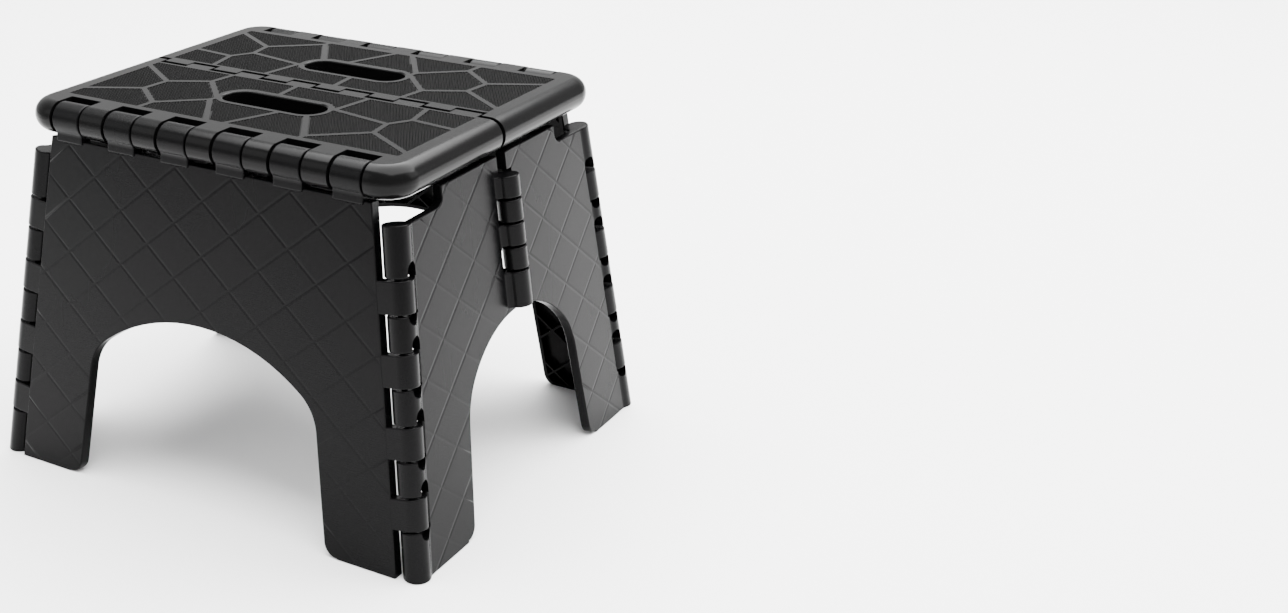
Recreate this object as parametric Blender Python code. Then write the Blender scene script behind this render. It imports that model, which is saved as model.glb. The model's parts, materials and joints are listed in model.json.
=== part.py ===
"""Folding step stool: eight moulded panels joined by nine hinge pins.

Metres, +Z up. The origin is on the floor under the middle of the step, +X is
to the right along the front edge and -Y is the front. The stool stands open.
Lifting the middle of the step folds the two top plates underside to underside,
while the leg panels come together and the side panels fold inwards.
"""

import math

import bmesh
import bpy
from mathutils import Matrix, Vector

# Driving dimensions.
HEIGHT = 0.228
TOP_HALF_WIDTH = 0.133
TOP_HALF_DEPTH = 0.112
TOP_THICKNESS = 0.0195
TOP_CORNER_RADIUS = 0.020
TOP_SKIN = 0.0035
LEG_SPLAY = math.radians(7.03)
SIDE_SPLAY = math.radians(7.53)
FOOT_X = 0.1497  # a corner hinge axis where it meets the floor

# Hinges.
PIN_RADIUS = 0.00225
BORE_RADIUS = 0.00255
OPEN_BORE_RADIUS = 0.0044
CORNER_RING_RADIUS = 0.0079
CORNER_BARREL_RADIUS = 0.0079
MIDDLE_RING_RADIUS = 0.00725
MIDDLE_PIN_OFFSET = 0.00875  # middle pin axis, outwards from the corner pin plane
TOP_PIN_OFFSET = 0.0035  # top pin axis, outwards from the corner pin plane
SEAM_RING_RADIUS = 0.005
MIDDLE_CLEARANCE_RADIUS = 0.0102
TOP_FINGER_RADIUS = 0.0096
TOP_PIN_HALF_LENGTH = 0.118
SEAM_PIN_HALF_LENGTH = 0.1155
PIN_CHAMFER = 0.0009
BORE_SPARE = 0.001  # a bore runs on past its pin by this much
CORNER_CLEARANCE_RADIUS = 0.0093

# Leg panels and side panels.
LEG_FACE_OFFSET = 0.0083  # outer face, outwards from the corner pin plane
LEG_THICKNESS = 0.0073
LEG_EDGE_GAP = 0.0090  # leg panel edge to the corner hinge axis
SIDE_FACE_OFFSET = 0.0061
SIDE_THICKNESS = 0.0062
SIDE_TOP = 0.206
SKIN = 0.0024
FLANGE = 0.0030
RIB = 0.0018
RIB_ANGLE = math.radians(39.0)
RIB_PITCH = 0.0490
RIB_COUNT = 13
RIB_REACH = 0.25
RIB_START_Z = 0.06

# Fingers, barrels and tabs.
FINGER_PITCH = 0.0394
FINGER_WIDTH = 0.0194
FINGER_GAP = 0.0018
FINGER_COUNT = 6
CORNER_FINGER_HEIGHT = 0.0184
CORNER_NOTCH_HEIGHT = 0.0198
CORNER_FINGER_Z = (0.1575, 0.1175, 0.0775, 0.0375)
CORNER_PIN_SPAN = (0.008, 0.188)
MIDDLE_LEVELS = (0.1950, 0.1808, 0.1666, 0.1524, 0.1382, 0.1150)
MIDDLE_PIN_SPAN = (0.119, 0.1925)
LEVEL_GAP = 0.0005
TAB_PITCH = 0.0194
TAB_DEPTH = 0.0045
SEAM_GAP = 0.0012
SEAM_TABS = 7
SEAM_WEB_HALF = 0.0038
SEAM_WEB_LOW = -0.0003

# Openings.
SLOT_RADIUS = 0.0112
SLOT_HALF_REACH = 0.024
SLOT_Y = 0.0408
SLOT_WALL = 0.0025
FRONT_ARCH = {"apex": 0.1145, "crown": 0.120, "corner": 0.030, "inner": 0.0927, "foot": 0.009}
SIDE_ARCH = {"apex": 0.1130, "crown": 0.070, "corner": 0.045, "inner": 0.0723, "foot": 0.008}
INNER_SLOPE = 0.1315
SCOOP_FLOOR = 0.195
SCOOP_INNER = 0.064
SCOOP_RADIUS = 0.006
MIDDLE_EDGE_GAP = 0.005
MIDDLE_OWN_GAP = 0.0015
MIDDLE_CUT_LOW = 0.110
TOP_NOTCH_REACH = 0.0104  # back of a finger notch, inwards from the top hinge axis
TOP_RIM_ROUND = 0.0096
POCKET_COLUMNS = 8
POCKET_ROWS = ((-0.0880, -0.0550), (-0.0526, -0.0090))
POCKET_BORDER = 0.0125
POCKET_RIB = 0.0024

RING_SIDES = 16
BORE_SIDES = 8
PIN_SIDES = 10
BELOW_FLOOR = 0.004
STEP_BACK = 0.0002  # joined shapes stand this far behind a panel's face
OVERRUN = 0.002  # cutters run on past a face by this much
WIDE = 0.2  # wider than any panel

# Derived places.
TOP_PIN_Y = TOP_HALF_DEPTH - TOP_THICKNESS / 2
TOP_PIN_Z = HEIGHT - TOP_THICKNESS / 2
SEAM_Z = TOP_PIN_Z - TOP_PIN_OFFSET - MIDDLE_PIN_OFFSET
PLATE_LOW = HEIGHT - TOP_THICKNESS - SEAM_Z
PLATE_HIGH = HEIGHT - SEAM_Z
CORNER_SLOPE_X = math.tan(SIDE_SPLAY)
CORNER_SLOPE_Y = math.tan(LEG_SPLAY)
FOOT_Y = TOP_PIN_Y + TOP_PIN_Z * CORNER_SLOPE_Y - TOP_PIN_OFFSET / math.cos(LEG_SPLAY)
LEG_OUTER = TOP_PIN_OFFSET - LEG_FACE_OFFSET
LEG_INNER = LEG_OUTER + LEG_THICKNESS
LEG_TOP = -0.0112


def clear_scene():
    """Remove whatever the scene holds."""
    for item in list(bpy.data.objects):
        bpy.data.objects.remove(item, do_unlink=True)


def plastic(name, colour, roughness):
    """Return a moulded plastic material."""
    finish = bpy.data.materials.new(name)
    finish.use_nodes = True
    shader = finish.node_tree.nodes["Principled BSDF"]
    shader.inputs["Base Color"].default_value = (*colour, 1.0)
    shader.inputs["Roughness"].default_value = roughness
    shader.inputs["Metallic"].default_value = 0.0
    finish.diffuse_color = (*colour, 1.0)
    return finish


def axis_empty(name, place):
    """Return an empty that marks a joint axis."""
    empty = bpy.data.objects.new(name, None)
    empty.matrix_world = place
    bpy.context.scene.collection.objects.link(empty)
    return empty


def object_from(bm, name, parent):
    """Turn a bmesh into an object under its joint's empty."""
    bmesh.ops.recalc_face_normals(bm, faces=bm.faces)
    mesh = bpy.data.meshes.new(name)
    bm.to_mesh(mesh)
    bm.free()
    item = bpy.data.objects.new(name, mesh)
    item.parent = parent
    bpy.context.scene.collection.objects.link(item)
    return item


def helper_from(bm, name, parent):
    """Turn a bmesh into a hidden helper for a Boolean."""
    item = object_from(bm, name, parent)
    item.hide_render = True
    item.display_type = "WIRE"
    return item


def combine(item, operation, helper, crossed=False):
    """Add a Boolean with the helper, whose shapes may be crossed over each other."""
    step = item.modifiers.new(helper.name, "BOOLEAN")
    step.operation = operation
    step.solver = "EXACT"
    step.use_self = crossed
    step.object = helper


def on_plane(plane, u, v, w):
    """Place a drawing's u and v, and its depth w, on a named plane."""
    return {"XY": (u, v, w), "XZ": (u, w, v), "YZ": (w, u, v)}[plane]


def add_prism(bm, outline, low, high, plane):
    """Extrude a closed outline on a plane from depth low to depth high."""
    face = bm.faces.new([bm.verts.new(on_plane(plane, u, v, low)) for u, v in outline])
    grown = bmesh.ops.extrude_face_region(bm, geom=[face])["geom"]
    moved = [part for part in grown if isinstance(part, bmesh.types.BMVert)]
    bmesh.ops.translate(bm, verts=moved, vec=Vector(on_plane(plane, 0, 0, high - low)))


def add_box(bm, low, high):
    """Add a box from its lowest to its highest corner."""
    outline = [(low[0], low[1]), (high[0], low[1]), (high[0], high[1]), (low[0], high[1])]
    add_prism(bm, outline, low[2], high[2], "XY")


def add_cylinder(bm, start, end, radius, sides):
    """Add a cylinder between two points."""
    start, end = Vector(start), Vector(end)
    along = end - start
    place = Matrix.Translation((start + end) / 2) @ along.to_track_quat("Z", "Y").to_matrix().to_4x4()
    bmesh.ops.create_cone(
        bm, cap_ends=True, segments=sides, radius1=radius, radius2=radius, depth=along.length, matrix=place
    )


def arc(centre, radius, start, end, steps):
    """Points on an arc, angles in degrees."""
    angles = [math.radians(start + (end - start) * i / steps) for i in range(steps + 1)]
    return [(centre[0] + radius * math.cos(a), centre[1] + radius * math.sin(a)) for a in angles]


def inset(outline, distance):
    """Move each side of an anticlockwise outline inwards."""
    moved = []
    for i, point in enumerate(outline):
        before, after = Vector(outline[i - 1]), Vector(outline[(i + 1) % len(outline)])
        here = Vector(point)
        first, second = (here - before).normalized(), (after - here).normalized()
        bisector = Vector((-first.y - second.y, first.x + second.x)).normalized()
        reach = distance / max(0.35, bisector.dot(Vector((-first.y, first.x))))
        moved.append(tuple(here + bisector * reach))
    return moved


def arch_half(arch):
    """Arch outline from the floor by the foot up to the crown, right half."""
    lean = math.sqrt(1 + INNER_SLOPE**2)
    crown_z = arch["apex"] - arch["crown"]
    reach = arch["crown"] - arch["corner"]
    # The corner arc touches the leg's inner edge and the crown arc.
    base = arch["inner"] - arch["corner"] * lean - INNER_SLOPE * crown_z
    square = 1 + INNER_SLOPE**2
    rise = (INNER_SLOPE * base + math.sqrt(reach**2 * square - base**2)) / square
    centre = (base - INNER_SLOPE * rise, crown_z + rise)
    side_angle = math.degrees(math.atan(INNER_SLOPE))
    crown_angle = math.degrees(math.atan2(rise, centre[0]))
    foot = arch["foot"]
    foot_centre = (arch["inner"] + foot * lean - INNER_SLOPE * foot, foot)
    points = [(foot_centre[0], -BELOW_FLOOR)]
    points += arc(foot_centre, foot, 270, 180 + side_angle, 3)
    points += arc(centre, arch["corner"], side_angle, crown_angle, 5)
    points += arc((0.0, crown_z), arch["crown"], crown_angle, 90, 3)[1:]
    return points


def leg_frame():
    """Matrix of the front leg panel: origin on its top hinge axis, Z up the panel, Y inwards."""
    return Matrix.Translation((0, -TOP_PIN_Y, TOP_PIN_Z)) @ Matrix.Rotation(-LEG_SPLAY, 4, "X")


def side_frame(hand):
    """Matrix of a right side panel: origin at its corner axis foot, X outwards, Z up the panel."""
    return Matrix.Translation((FOOT_X, -hand * FOOT_Y, 0)) @ Matrix.Rotation(-SIDE_SPLAY, 4, "Y")


def leg_z(height):
    """Height on a leg panel's outer face, along the panel."""
    return (height - TOP_PIN_Z + LEG_OUTER * math.sin(LEG_SPLAY)) / math.cos(LEG_SPLAY)


def corner_on_leg(height):
    """Point of the right corner axis at a height, in the leg panel's frame."""
    z = (height - TOP_PIN_Z + TOP_PIN_OFFSET * math.sin(LEG_SPLAY)) / math.cos(LEG_SPLAY)
    return Vector((FOOT_X - CORNER_SLOPE_X * height, TOP_PIN_OFFSET, z))


def leg_outline():
    """Outline of a leg panel on its outer face."""
    low, high = corner_on_leg(-BELOW_FLOOR), corner_on_leg(HEIGHT)
    slope = (high.x - low.x) / (high.z - low.z)
    edge = LEG_EDGE_GAP * math.sqrt(1 + slope**2)
    right = [(x, leg_z(z)) for x, z in arch_half(FRONT_ARCH)]
    outer = [(low.x - edge + slope * (z - low.z), z) for z in (leg_z(-BELOW_FLOOR), LEG_TOP)]
    left = [(-x, z) for x, z in right[:-1]]
    return left + [right[-1]] + right[-2::-1] + outer + [(-x, z) for x, z in outer[::-1]]


def finger_places():
    """Middle of each top finger along X."""
    return [(i - (FINGER_COUNT - 1) / 2) * FINGER_PITCH for i in range(FINGER_COUNT)]


def lattice(bm, plane, centre, low, high):
    """Crossed ribs for the inside of a panel."""
    along = Vector((math.cos(RIB_ANGLE), math.sin(RIB_ANGLE)))
    half_count = RIB_COUNT // 2
    for lean in (1, -1):
        line = Vector((along.x, lean * along.y))
        across = Vector((-line.y, line.x)) * RIB / 2
        for i in range(-half_count, half_count + 1):
            middle = Vector(centre) + Vector((i * RIB_PITCH, 0))
            ends = [middle - line * RIB_REACH, middle + line * RIB_REACH]
            outline = [ends[0] - across, ends[1] - across, ends[1] + across, ends[0] + across]
            add_prism(bm, [tuple(p) for p in outline], low, high, plane)


def make_leg_panel(name, parent, floor, finish):
    """Arched leg panel with top fingers, corner fingers and an open, ribbed inside."""
    outline = leg_outline()
    bm = bmesh.new()
    add_prism(bm, outline, LEG_OUTER, LEG_INNER, "XZ")
    panel = object_from(bm, name, parent)

    bm = bmesh.new()
    add_prism(bm, inset(outline, FLANGE), LEG_OUTER + SKIN, LEG_INNER + OVERRUN / 2, "XZ")
    pocket = helper_from(bm, name + ".pocket", parent)
    bm = bmesh.new()
    lattice(bm, "XZ", (0.0, leg_z(RIB_START_Z)), LEG_OUTER, LEG_INNER + OVERRUN)
    add_box(bm, (-WIDE, LEG_OUTER, leg_z(-5 * BELOW_FLOOR)), (WIDE, LEG_INNER + OVERRUN, leg_z(FLANGE)))
    combine(pocket, "DIFFERENCE", helper_from(bm, name + ".ribs", parent), crossed=True)
    combine(panel, "DIFFERENCE", pocket)

    bm = bmesh.new()
    for x in finger_places():
        ends = ((x - FINGER_WIDTH / 2, 0, 0), (x + FINGER_WIDTH / 2, 0, 0))
        add_cylinder(bm, *ends, TOP_FINGER_RADIUS, RING_SIDES)
        add_box(
            bm,
            (x - FINGER_WIDTH / 2 + STEP_BACK, LEG_OUTER + STEP_BACK, LEG_TOP - OVERRUN),
            (x + FINGER_WIDTH / 2 - STEP_BACK, LEG_INNER - STEP_BACK, -0.003),
        )
    for mirror in (1, -1):
        for height in CORNER_FINGER_Z:
            add_corner_finger(bm, height, mirror)
    combine(panel, "UNION", helper_from(bm, name + ".fingers", parent), crossed=True)

    bm = bmesh.new()
    reach = TOP_PIN_HALF_LENGTH + BORE_SPARE
    add_cylinder(bm, (-reach, 0, 0), (reach, 0, 0), BORE_RADIUS, BORE_SIDES)
    for mirror in (1, -1):
        low, high = corner_on_leg(BORE_SPARE), corner_on_leg(SIDE_TOP)
        low.x, high.x = low.x * mirror, high.x * mirror
        add_cylinder(bm, low, high, BORE_RADIUS, BORE_SIDES)
    combine(panel, "DIFFERENCE", helper_from(bm, name + ".bores", parent))
    combine(panel, "DIFFERENCE", floor)
    panel.data.materials.append(finish)
    return panel


def add_corner_finger(bm, height, mirror):
    """One finger of a leg panel round the corner axis."""
    half = CORNER_FINGER_HEIGHT / 2
    low, high = corner_on_leg(height - half), corner_on_leg(height + half)
    low.x, high.x = low.x * mirror, high.x * mirror
    add_cylinder(bm, low, high, CORNER_RING_RADIUS, RING_SIDES)
    root = (LEG_EDGE_GAP + OVERRUN) * mirror
    low.z, high.z = low.z + STEP_BACK, high.z - STEP_BACK
    outline = [(low.x - root, low.z), (low.x, low.z), (high.x, high.z), (high.x - root, high.z)]
    add_prism(bm, outline, LEG_OUTER + STEP_BACK, LEG_INNER - STEP_BACK, "XZ")


def corner_edge(height):
    """Point of a side panel's corner edge, out from the middle of the side."""
    return (FOOT_Y - CORNER_SLOPE_Y * height, height)


def side_outline(hand):
    """Outline of a side panel, from its corner axis to the middle."""
    points = [corner_edge(-BELOW_FLOOR)] + arch_half(SIDE_ARCH) + [(0.0, SIDE_TOP), (SCOOP_INNER, SIDE_TOP)]
    centre = (SCOOP_INNER + SCOOP_RADIUS, SCOOP_FLOOR + SCOOP_RADIUS)
    points += arc(centre, SCOOP_RADIUS, 180, 270, 3) + [corner_edge(SCOOP_FLOOR)]
    placed = [(hand * (FOOT_Y - y), z / math.cos(SIDE_SPLAY)) for y, z in points]
    return placed if hand > 0 else placed[::-1]


def corner_on_side(height, hand):
    """Point of the corner axis at a height, in a side panel's frame."""
    return Vector((0.0, hand * CORNER_SLOPE_Y * height, height / math.cos(SIDE_SPLAY)))


def middle_on_side(height, hand):
    """Point of the middle axis at a height, in a side panel's frame."""
    return Vector((MIDDLE_PIN_OFFSET, hand * FOOT_Y, height / math.cos(SIDE_SPLAY)))


def barrel_levels():
    """Height range of each corner barrel, top to bottom."""
    half = CORNER_NOTCH_HEIGHT / 2 + 0.0003
    highs = [SCOOP_FLOOR + 0.001] + [z - half for z in CORNER_FINGER_Z]
    lows = [z + half for z in CORNER_FINGER_Z] + [-BELOW_FLOOR]
    return list(zip(lows, highs))


def make_side_panel(name, parent, floor, hand, finish):
    """Half of a side: corner barrels, an arch, and every other middle knuckle.

    hand is 1 for the half in front of the middle on the right side, which has
    the first, third and fifth knuckles, and -1 for its neighbour.
    """
    inner, outer = SIDE_FACE_OFFSET - SIDE_THICKNESS, SIDE_FACE_OFFSET
    outline = side_outline(hand)
    bm = bmesh.new()
    add_prism(bm, outline, inner, outer, "YZ")
    panel = object_from(bm, name, parent)

    bm = bmesh.new()
    add_prism(bm, inset(outline, FLANGE), inner - OVERRUN / 2, outer - SKIN, "YZ")
    pocket = helper_from(bm, name + ".pocket", parent)
    bm = bmesh.new()
    lattice(bm, "YZ", (hand * FOOT_Y, RIB_START_Z), inner - OVERRUN, outer)
    add_box(bm, (inner - OVERRUN, -WIDE, -5 * BELOW_FLOOR), (outer, WIDE, FLANGE))
    near = sorted((hand * (FOOT_Y + 5 * OVERRUN), hand * (FOOT_Y - MIDDLE_CLEARANCE_RADIUS - FLANGE)))
    add_box(bm, (inner - OVERRUN, near[0], MIDDLE_CUT_LOW - 5 * OVERRUN), (outer, near[1], HEIGHT))
    ends = (corner_on_side(-2 * BELOW_FLOOR, hand), corner_on_side(SIDE_TOP, hand))
    add_cylinder(bm, *ends, CORNER_CLEARANCE_RADIUS + FLANGE, RING_SIDES)
    combine(pocket, "DIFFERENCE", helper_from(bm, name + ".ribs", parent), crossed=True)
    combine(panel, "DIFFERENCE", pocket)

    bm = bmesh.new()
    half = CORNER_NOTCH_HEIGHT / 2
    for height in CORNER_FINGER_Z:
        ends = (corner_on_side(height - half, hand), corner_on_side(height + half, hand))
        add_cylinder(bm, *ends, CORNER_CLEARANCE_RADIUS, RING_SIDES)
    for i in range(5):
        own = (i % 2 == 0) == (hand > 0)
        reach = MIDDLE_OWN_GAP if own else MIDDLE_CLEARANCE_RADIUS
        high = MIDDLE_LEVELS[i] + (0.0 if own else LEVEL_GAP)
        low = MIDDLE_LEVELS[i + 1] - (0.0 if own else LEVEL_GAP)
        low = MIDDLE_CUT_LOW if i == 4 else low
        add_middle_notch(bm, low, high, reach, hand)
    add_middle_notch(bm, MIDDLE_LEVELS[0] + STEP_BACK / 2, HEIGHT, MIDDLE_EDGE_GAP, hand)
    combine(panel, "DIFFERENCE", helper_from(bm, name + ".notches", parent), crossed=True)

    bm = bmesh.new()
    for low, high in barrel_levels():
        ends = (corner_on_side(low, hand), corner_on_side(high, hand))
        add_cylinder(bm, *ends, CORNER_BARREL_RADIUS, RING_SIDES)
    for i in range(5):
        if (i % 2 == 0) == (hand > 0):
            ends = (
                middle_on_side(MIDDLE_LEVELS[i + 1] + 1.3 * LEVEL_GAP, hand),
                middle_on_side(MIDDLE_LEVELS[i] - 1.3 * LEVEL_GAP, hand),
            )
            add_cylinder(bm, *ends, MIDDLE_RING_RADIUS, RING_SIDES)
    combine(panel, "UNION", helper_from(bm, name + ".barrels", parent))

    bm = bmesh.new()
    low, high = CORNER_PIN_SPAN
    ends = (corner_on_side(low - BORE_SPARE, hand), corner_on_side(high + BORE_SPARE, hand))
    add_cylinder(bm, *ends, BORE_RADIUS, BORE_SIDES)
    low, high = MIDDLE_PIN_SPAN
    ends = (middle_on_side(low - BORE_SPARE, hand), middle_on_side(high + BORE_SPARE, hand))
    add_cylinder(bm, *ends, BORE_RADIUS if hand > 0 else OPEN_BORE_RADIUS, BORE_SIDES)
    combine(panel, "DIFFERENCE", helper_from(bm, name + ".bores", parent))
    combine(panel, "DIFFERENCE", floor)
    panel.data.materials.append(finish)
    return panel


def add_middle_notch(bm, low, high, reach, hand):
    """Cut a side panel back from the middle between two heights."""
    sides = sorted((hand * (FOOT_Y - reach), hand * (FOOT_Y + 5 * OVERRUN)))
    scale = 1 / math.cos(SIDE_SPLAY)
    add_box(bm, (-SIDE_THICKNESS, sides[0], low * scale), (3 * SIDE_THICKNESS, sides[1], high * scale))


def rounded_rectangle(half_x, half_y, radius, steps):
    """Rounded rectangle outline round the origin."""
    points = []
    for i, (sx, sy) in enumerate(((1, 1), (-1, 1), (-1, -1), (1, -1))):
        centre = (sx * (half_x - radius), sy * (half_y - radius))
        points += arc(centre, radius, 90 * i, 90 * i + 90, steps)
    return points


def stadium(radius):
    """Bmesh of a hand slot's shape in a plate."""
    bm = bmesh.new()
    right = arc((SLOT_HALF_REACH, -SLOT_Y), radius, -90, 90, 8)
    left = arc((-SLOT_HALF_REACH, -SLOT_Y), radius, 90, 270, 8)
    add_prism(bm, right + left, PLATE_LOW - OVERRUN, PLATE_HIGH + OVERRUN, "XY")
    return bm


def seam_outline():
    """Front half of the step in plan, with its tabs across the seam."""
    far = 1.5 * TOP_HALF_DEPTH
    points = [(-SEAM_TABS * TAB_PITCH, -far), (SEAM_TABS * TAB_PITCH, -far)]
    for k in range(SEAM_TABS - 1, -SEAM_TABS - 1, -1):
        side = SEAM_GAP / 2 if k % 2 else -SEAM_GAP / 2
        y = (TAB_DEPTH if k % 2 else -TAB_DEPTH) - SEAM_GAP / 2
        points += [((k + 1) * TAB_PITCH - side, y), (k * TAB_PITCH + side, y)]
    points[2] = (SEAM_TABS * TAB_PITCH, points[2][1])
    points[-1] = (-SEAM_TABS * TAB_PITCH, points[-1][1])
    return points


def make_top_plate(name, parent, finish):
    """Half of the step, made for the front: origin on the seam axis."""
    bm = bmesh.new()
    outline = rounded_rectangle(TOP_HALF_WIDTH, TOP_HALF_DEPTH, TOP_CORNER_RADIUS, 5)
    add_prism(bm, outline, PLATE_LOW, PLATE_HIGH, "XY")
    rims = [edge for edge in bm.edges if abs(edge.verts[0].co.z - edge.verts[1].co.z) < 1e-6]
    bmesh.ops.bevel(
        bm, geom=rims, offset=TOP_RIM_ROUND, offset_type="OFFSET", segments=4, profile=0.5, affect="EDGES"
    )
    plate = object_from(bm, name, parent)
    bm = bmesh.new()
    add_prism(bm, seam_outline(), PLATE_LOW - OVERRUN, PLATE_HIGH + OVERRUN, "XY")
    combine(plate, "INTERSECT", helper_from(bm, name + ".half", parent))

    bm = bmesh.new()
    half_width = TOP_HALF_WIDTH - POCKET_BORDER
    width = (2 * half_width - (POCKET_COLUMNS - 1) * POCKET_RIB) / POCKET_COLUMNS
    for i in range(POCKET_COLUMNS):
        x = -half_width + i * (width + POCKET_RIB)
        for low, high in POCKET_ROWS:
            add_box(bm, (x, low, PLATE_LOW - OVERRUN / 2), (x + width, high, PLATE_HIGH - TOP_SKIN))
    pocket = helper_from(bm, name + ".pocket", parent)
    wall = helper_from(stadium(SLOT_RADIUS + SLOT_WALL), name + ".slot_wall", parent)
    combine(pocket, "DIFFERENCE", wall)
    combine(plate, "DIFFERENCE", pocket)

    bm = stadium(SLOT_RADIUS)
    half = FINGER_WIDTH / 2 + FINGER_GAP
    back = TOP_NOTCH_REACH - TOP_PIN_Y
    for x in finger_places():
        low = (x - half, -TOP_HALF_DEPTH - OVERRUN, PLATE_LOW - OVERRUN)
        add_box(bm, low, (x + half, back, PLATE_HIGH + OVERRUN))
    reach = TOP_PIN_HALF_LENGTH + BORE_SPARE / 2
    ends = [Vector((x, -TOP_PIN_Y, TOP_PIN_Z - SEAM_Z)) for x in (-reach, reach)]
    add_cylinder(bm, *ends, BORE_RADIUS, BORE_SIDES)
    combine(plate, "DIFFERENCE", helper_from(bm, name + ".cuts", parent), crossed=True)

    bm = bmesh.new()
    for k in range(-SEAM_TABS + 2, SEAM_TABS - 1, 2):
        low, high = k * TAB_PITCH + SEAM_GAP / 2, (k + 1) * TAB_PITCH - SEAM_GAP / 2
        low, high = low + STEP_BACK, high - STEP_BACK
        add_cylinder(bm, (low, 0, 0), (high, 0, 0), SEAM_RING_RADIUS, RING_SIDES)
        low, high = low + STEP_BACK, high - STEP_BACK
        add_box(bm, (low, -SEAM_WEB_HALF, SEAM_WEB_LOW), (high, SEAM_WEB_HALF, PLATE_LOW + OVERRUN))
    combine(plate, "UNION", helper_from(bm, name + ".knuckles", parent), crossed=True)
    bm = bmesh.new()
    reach = SEAM_TABS * TAB_PITCH
    add_cylinder(bm, (-reach, 0, 0), (reach, 0, 0), BORE_RADIUS, BORE_SIDES)
    combine(plate, "DIFFERENCE", helper_from(bm, name + ".seam_bore", parent))
    plate.data.materials.append(finish)
    return plate


def make_pin(name, parent, start, end, finish):
    """Hinge pin with chamfered ends."""
    bm = bmesh.new()
    add_cylinder(bm, start, end, PIN_RADIUS, PIN_SIDES)
    rims = {edge for face in bm.faces if len(face.verts) == PIN_SIDES for edge in face.edges}
    bmesh.ops.bevel(
        bm, geom=list(rims), offset=PIN_CHAMFER, offset_type="OFFSET", segments=1, profile=0.5, affect="EDGES"
    )
    pin = object_from(bm, name, parent)
    pin.data.materials.append(finish)
    return pin


def shade(item):
    """Smooth the round faces and keep the real edges sharp."""
    item.data.shade_smooth()
    item.data.set_sharp_from_angle(angle=math.radians(35))


def make_floor_cutter():
    """Block under the floor plane that trims every foot flat."""
    bm = bmesh.new()
    add_box(bm, (-WIDE, -WIDE, -WIDE), (WIDE, WIDE, 0.0))
    return helper_from(bm, "floor_cutter", None)


def main():
    """Build the stool."""
    clear_scene()
    satin = plastic("black_satin", (0.032, 0.031, 0.032), 0.42)
    gloss = plastic("black_gloss", (0.022, 0.021, 0.022), 0.30)
    step = plastic("black_textured", (0.050, 0.048, 0.048), 0.55)
    floor = make_floor_cutter()
    made = []

    turns = {"front": Matrix.Identity(4), "back": Matrix.Rotation(math.pi, 4, "Z")}
    seam = axis_empty("centre_seam_axis", Matrix.Translation((0, 0, SEAM_Z)))
    for side, turn in turns.items():
        axis = axis_empty(side + "_top_axis", turn @ Matrix.Translation((0, -TOP_PIN_Y, TOP_PIN_Z)))
        tilted = axis_empty(side + "_leg_axis", turn @ leg_frame())
        made.append(make_leg_panel(side + "_leg_panel", tilted, floor, satin))
        plate = make_top_plate(side + "_top_plate", axis, step)
        shift = Matrix.Translation((0, TOP_PIN_Y, SEAM_Z - TOP_PIN_Z))
        for moved in [plate] + [cut.object for cut in plate.modifiers]:
            moved.matrix_local = shift
        made.append(plate)
        ends = ((-TOP_PIN_HALF_LENGTH, 0, 0), (TOP_PIN_HALF_LENGTH, 0, 0))
        made.append(make_pin(side + "_top_pin", axis, *ends, gloss))
    ends = ((-SEAM_PIN_HALF_LENGTH, 0, 0), (SEAM_PIN_HALF_LENGTH, 0, 0))
    made.append(make_pin("centre_seam_pin", seam, *ends, gloss))

    # The two halves at opposite corners are the same moulding, turned half round.
    corners = {
        "right_front": (1, "front"), "right_back": (-1, "front"),
        "left_back": (1, "back"), "left_front": (-1, "back"),
    }
    for corner, (hand, side) in corners.items():
        axis = axis_empty(corner + "_corner_axis", turns[side] @ side_frame(hand))
        made.append(make_side_panel(corner + "_side_panel", axis, floor, hand, satin))
        ends = [corner_on_side(height, hand) for height in CORNER_PIN_SPAN]
        made.append(make_pin(corner + "_corner_pin", axis, *ends, gloss))
        if hand > 0:
            ends = [middle_on_side(height, hand) for height in MIDDLE_PIN_SPAN]
            made.append(make_pin(corner.split("_")[0] + "_middle_pin", axis, *ends, gloss))
    for item in made:
        shade(item)


main()
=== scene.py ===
"""Looks of a folding step stool: its mouldings and hinge pins in full detail.

Metres, +Z up. Each moulding is modelled in the frame of its own hinge and then
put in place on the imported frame, where it rides on its body.
"""

import json
import logging
import math
from dataclasses import dataclass
from enum import Enum
from typing import Callable, List, Sequence, Tuple

import bmesh
import bpy
from mathutils import Matrix, Vector


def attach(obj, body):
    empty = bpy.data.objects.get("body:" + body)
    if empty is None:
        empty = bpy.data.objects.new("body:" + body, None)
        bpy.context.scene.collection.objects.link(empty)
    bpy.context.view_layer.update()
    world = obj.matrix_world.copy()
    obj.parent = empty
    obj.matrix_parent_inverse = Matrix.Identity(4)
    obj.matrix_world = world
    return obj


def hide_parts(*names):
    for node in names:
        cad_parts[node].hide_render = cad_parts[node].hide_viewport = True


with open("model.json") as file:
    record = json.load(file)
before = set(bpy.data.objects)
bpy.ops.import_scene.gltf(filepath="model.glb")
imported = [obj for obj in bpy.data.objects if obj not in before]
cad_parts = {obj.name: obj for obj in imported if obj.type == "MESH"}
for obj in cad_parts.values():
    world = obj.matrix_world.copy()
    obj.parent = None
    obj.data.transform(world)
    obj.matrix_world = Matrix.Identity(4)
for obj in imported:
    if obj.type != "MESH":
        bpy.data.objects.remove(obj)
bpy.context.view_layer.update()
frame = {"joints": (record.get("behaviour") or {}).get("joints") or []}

LOG = logging.getLogger("step_stool")
Point = Tuple[float, float]
Item = bpy.types.Object
Edge = bmesh.types.BMEdge
Face = bmesh.types.BMFace
Socket = bpy.types.NodeSocket
Tree = bpy.types.NodeTree
HALF_TURN = Matrix.Rotation(math.pi, 4, "Z")

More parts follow.
